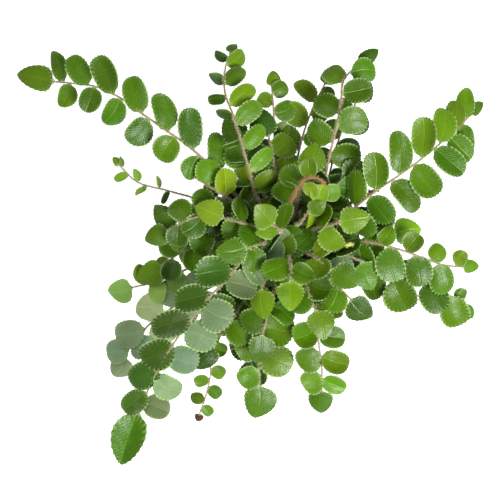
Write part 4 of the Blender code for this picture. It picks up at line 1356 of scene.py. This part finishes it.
# How wide, flat and narrowed a bud is, how far it leans and stands out, and how buds shrink along the coil.
BUD_WIDTH = 0.55
BUD_FLATNESS = 0.6
BUD_NARROWING = 0.35
BUD_LEAN = 0.3
BUD_OUT = 0.5
BUD_START = 1.1
BUD_SHRINK = (1.1, 0.5)
BUD_LIGHT = (0.8, 1.2)
CROZIER_FINE_STEP = 0.0012
CROZIER_HAIRS = 1.6
CROZIER_TINTS = {
    "crozier_1": (0.60, 0.62, 0.12), "crozier_2": (0.42, 0.52, 0.10),
    "crozier_3": (0.40, 0.24, 0.13), "crozier_4": (0.26, 0.14, 0.06),
}

young_skin, tree, surface, place = new_material("young yellow green")
tint = own_tint(tree)
blush, blush_height = patch_mask(tree, place, size=0.0020, amount=0.5)
colour = mixed(tree, blush, tint, (0.85, 0.62, 0.45, 1), "MULTIPLY", share=0.35)
feed(tree, surface, Base_Color=colour, Roughness=0.46, Normal=relief(tree, blush_height, 0.0002, 0.5))

bpy.ops.object.select_all(action="DESELECT")
bpy.ops.mesh.primitive_uv_sphere_add(segments=10, ring_count=7, radius=1)
bud = added("bud")
for vertex in bud.data.vertices:
    vertex.co.x *= 1 - BUD_NARROWING * vertex.co.z
    vertex.co.y *= BUD_FLATNESS
bud_model = model_arrays(bud)

for number, crozier in enumerate(CROZIERS):
    draw = random.Random(300 + number)
    line = smooth_line(crozier["line"], CROZIER_FINE_STEP)
    tint = CROZIER_TINTS[crozier["name"]]
    tube = stalk_piece(crozier["name"] + "_tube", line, CROZIER_FOOT_RADIUS, CROZIER_COIL_RADIUS, young_skin)
    copies = [(model_arrays(tube), Matrix.Identity(4), tint)]
    total = line_length(line)
    coil = total - line_length(crozier["line"][:-round(COIL_TURNS * COIL_SIDES)])
    for bud_number in range(CROZIER_BUDS):
        share = 1 - coil / total * (BUD_START - bud_number / CROZIER_BUDS)
        point, ahead = point_along(line, total * share)
        side = ahead.cross(Vector((0, 0, 1))).normalized() * (1 if bud_number % 2 else -1)
        size = draw.uniform(*BUD_SIZE) * (BUD_SHRINK[0] - BUD_SHRINK[1] * bud_number / CROZIER_BUDS)
        turn = (side + BUD_LEAN * ahead).to_track_quat("Z", "Y").to_matrix().to_4x4()
        stretch = Matrix.Diagonal((size * BUD_WIDTH, size * BUD_WIDTH, size, 1))
        light = draw.uniform(*BUD_LIGHT)
        place = Matrix.Translation(point + side * size * BUD_OUT)
        copies.append((bud_model, place @ turn @ stretch, [light * part for part in tint]))
    body = laid_out(crozier["name"] + "_coil", copies, [young_skin])
    smooth(body, degrees=60)
    count = round(total * HAIRS_PER_METRE * CROZIER_HAIRS)
    pale = [0.5 * (part + other) for part, other in zip(tint, HAIR_TAN)]
    copies = hairs_on(draw, line, CROZIER_FOOT_RADIUS, CROZIER_COIL_RADIUS, count, HAIR_LENGTH, pale)
    hairs = laid_out(crozier["name"] + "_hairs", copies, [hair_skin])
    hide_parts(crozier["name"])
    for piece in (body, hairs):
        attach(piece, "root")

# Floor, light and camera
# A plain white table under soft studio light. The main light is a large window on the viewer's lower right,
# which gives the leaflets that face it their pale gloss. The other lights leave no gloss, and the camera
# looks straight down on the plant.
EYE = Vector((-0.0217, -0.0011, 0.85))
LENS = 87.8
SENSOR = 36.0
FLOOR_SIZE = 6.0
FLOOR_WHITE = (0.80, 0.81, 0.81, 1)
FLOOR_GLOW = 0.85
SKY = (0.95, 0.98, 1.0, 1)
SKY_STRENGTH = 0.16
BACKDROP_STRENGTH = 1.0
LIGHTS = {
    "window": dict(place=(0.50, -0.50, 1.05), size=0.55, power=20),
    "overhead": dict(place=(-0.30, 0.35, 1.30), size=0.6, power=5.5),
    "fill": dict(place=(-0.90, -0.10, 0.60), size=0.8, power=2.5),
}

bpy.ops.object.select_all(action="DESELECT")
bpy.ops.mesh.primitive_plane_add(size=FLOOR_SIZE)
floor = added("floor")
white, tree, surface, place = new_material("white table")
faint, _ = patch_mask(tree, place, size=0.20, amount=0.5)
colour = mixed(tree, faint, FLOOR_WHITE, (0.76, 0.77, 0.78, 1), share=0.03)
seen = shader(tree, "LightPath").outputs["Is Camera Ray"]
feed(tree, surface, Base_Color=colour, Roughness=0.7, Emission_Color=(1, 1, 1, 1),
     Emission_Strength=times(tree, seen, FLOOR_GLOW))
floor.data.materials.append(white)
floor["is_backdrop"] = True

scene = bpy.context.scene
world = bpy.data.worlds.new("studio")
world.use_nodes = True
world.node_tree.nodes["Background"].inputs["Color"].default_value = SKY
seen = shader(world.node_tree, "LightPath").outputs["Is Camera Ray"]
strength = maths(world.node_tree, "MULTIPLY_ADD", seen, BACKDROP_STRENGTH - SKY_STRENGTH, SKY_STRENGTH)
world.node_tree.links.new(strength, world.node_tree.nodes["Background"].inputs["Strength"])
scene.world = world
scene.view_settings.view_transform = "Standard"
aim = Vector((0, 0, 0.12))
for name, light in LIGHTS.items():
    bpy.ops.object.light_add(type="AREA", location=light["place"])
    lamp = bpy.context.active_object
    lamp.name = name
    lamp.data.energy = light["power"]
    lamp.data.size = light["size"]
    lamp.visible_glossy = name == "window"
    lamp.rotation_euler = (aim - lamp.location).to_track_quat("-Z", "Y").to_euler()
bpy.ops.object.camera_add(location=EYE, rotation=(0, 0, 0))
camera = bpy.context.active_object
camera.data.lens = LENS
camera.data.sensor_width = SENSOR
scene.camera = camera

size = {"cad": [list(corner) for corner in cad_box], "scene": [list(corner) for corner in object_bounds()]}
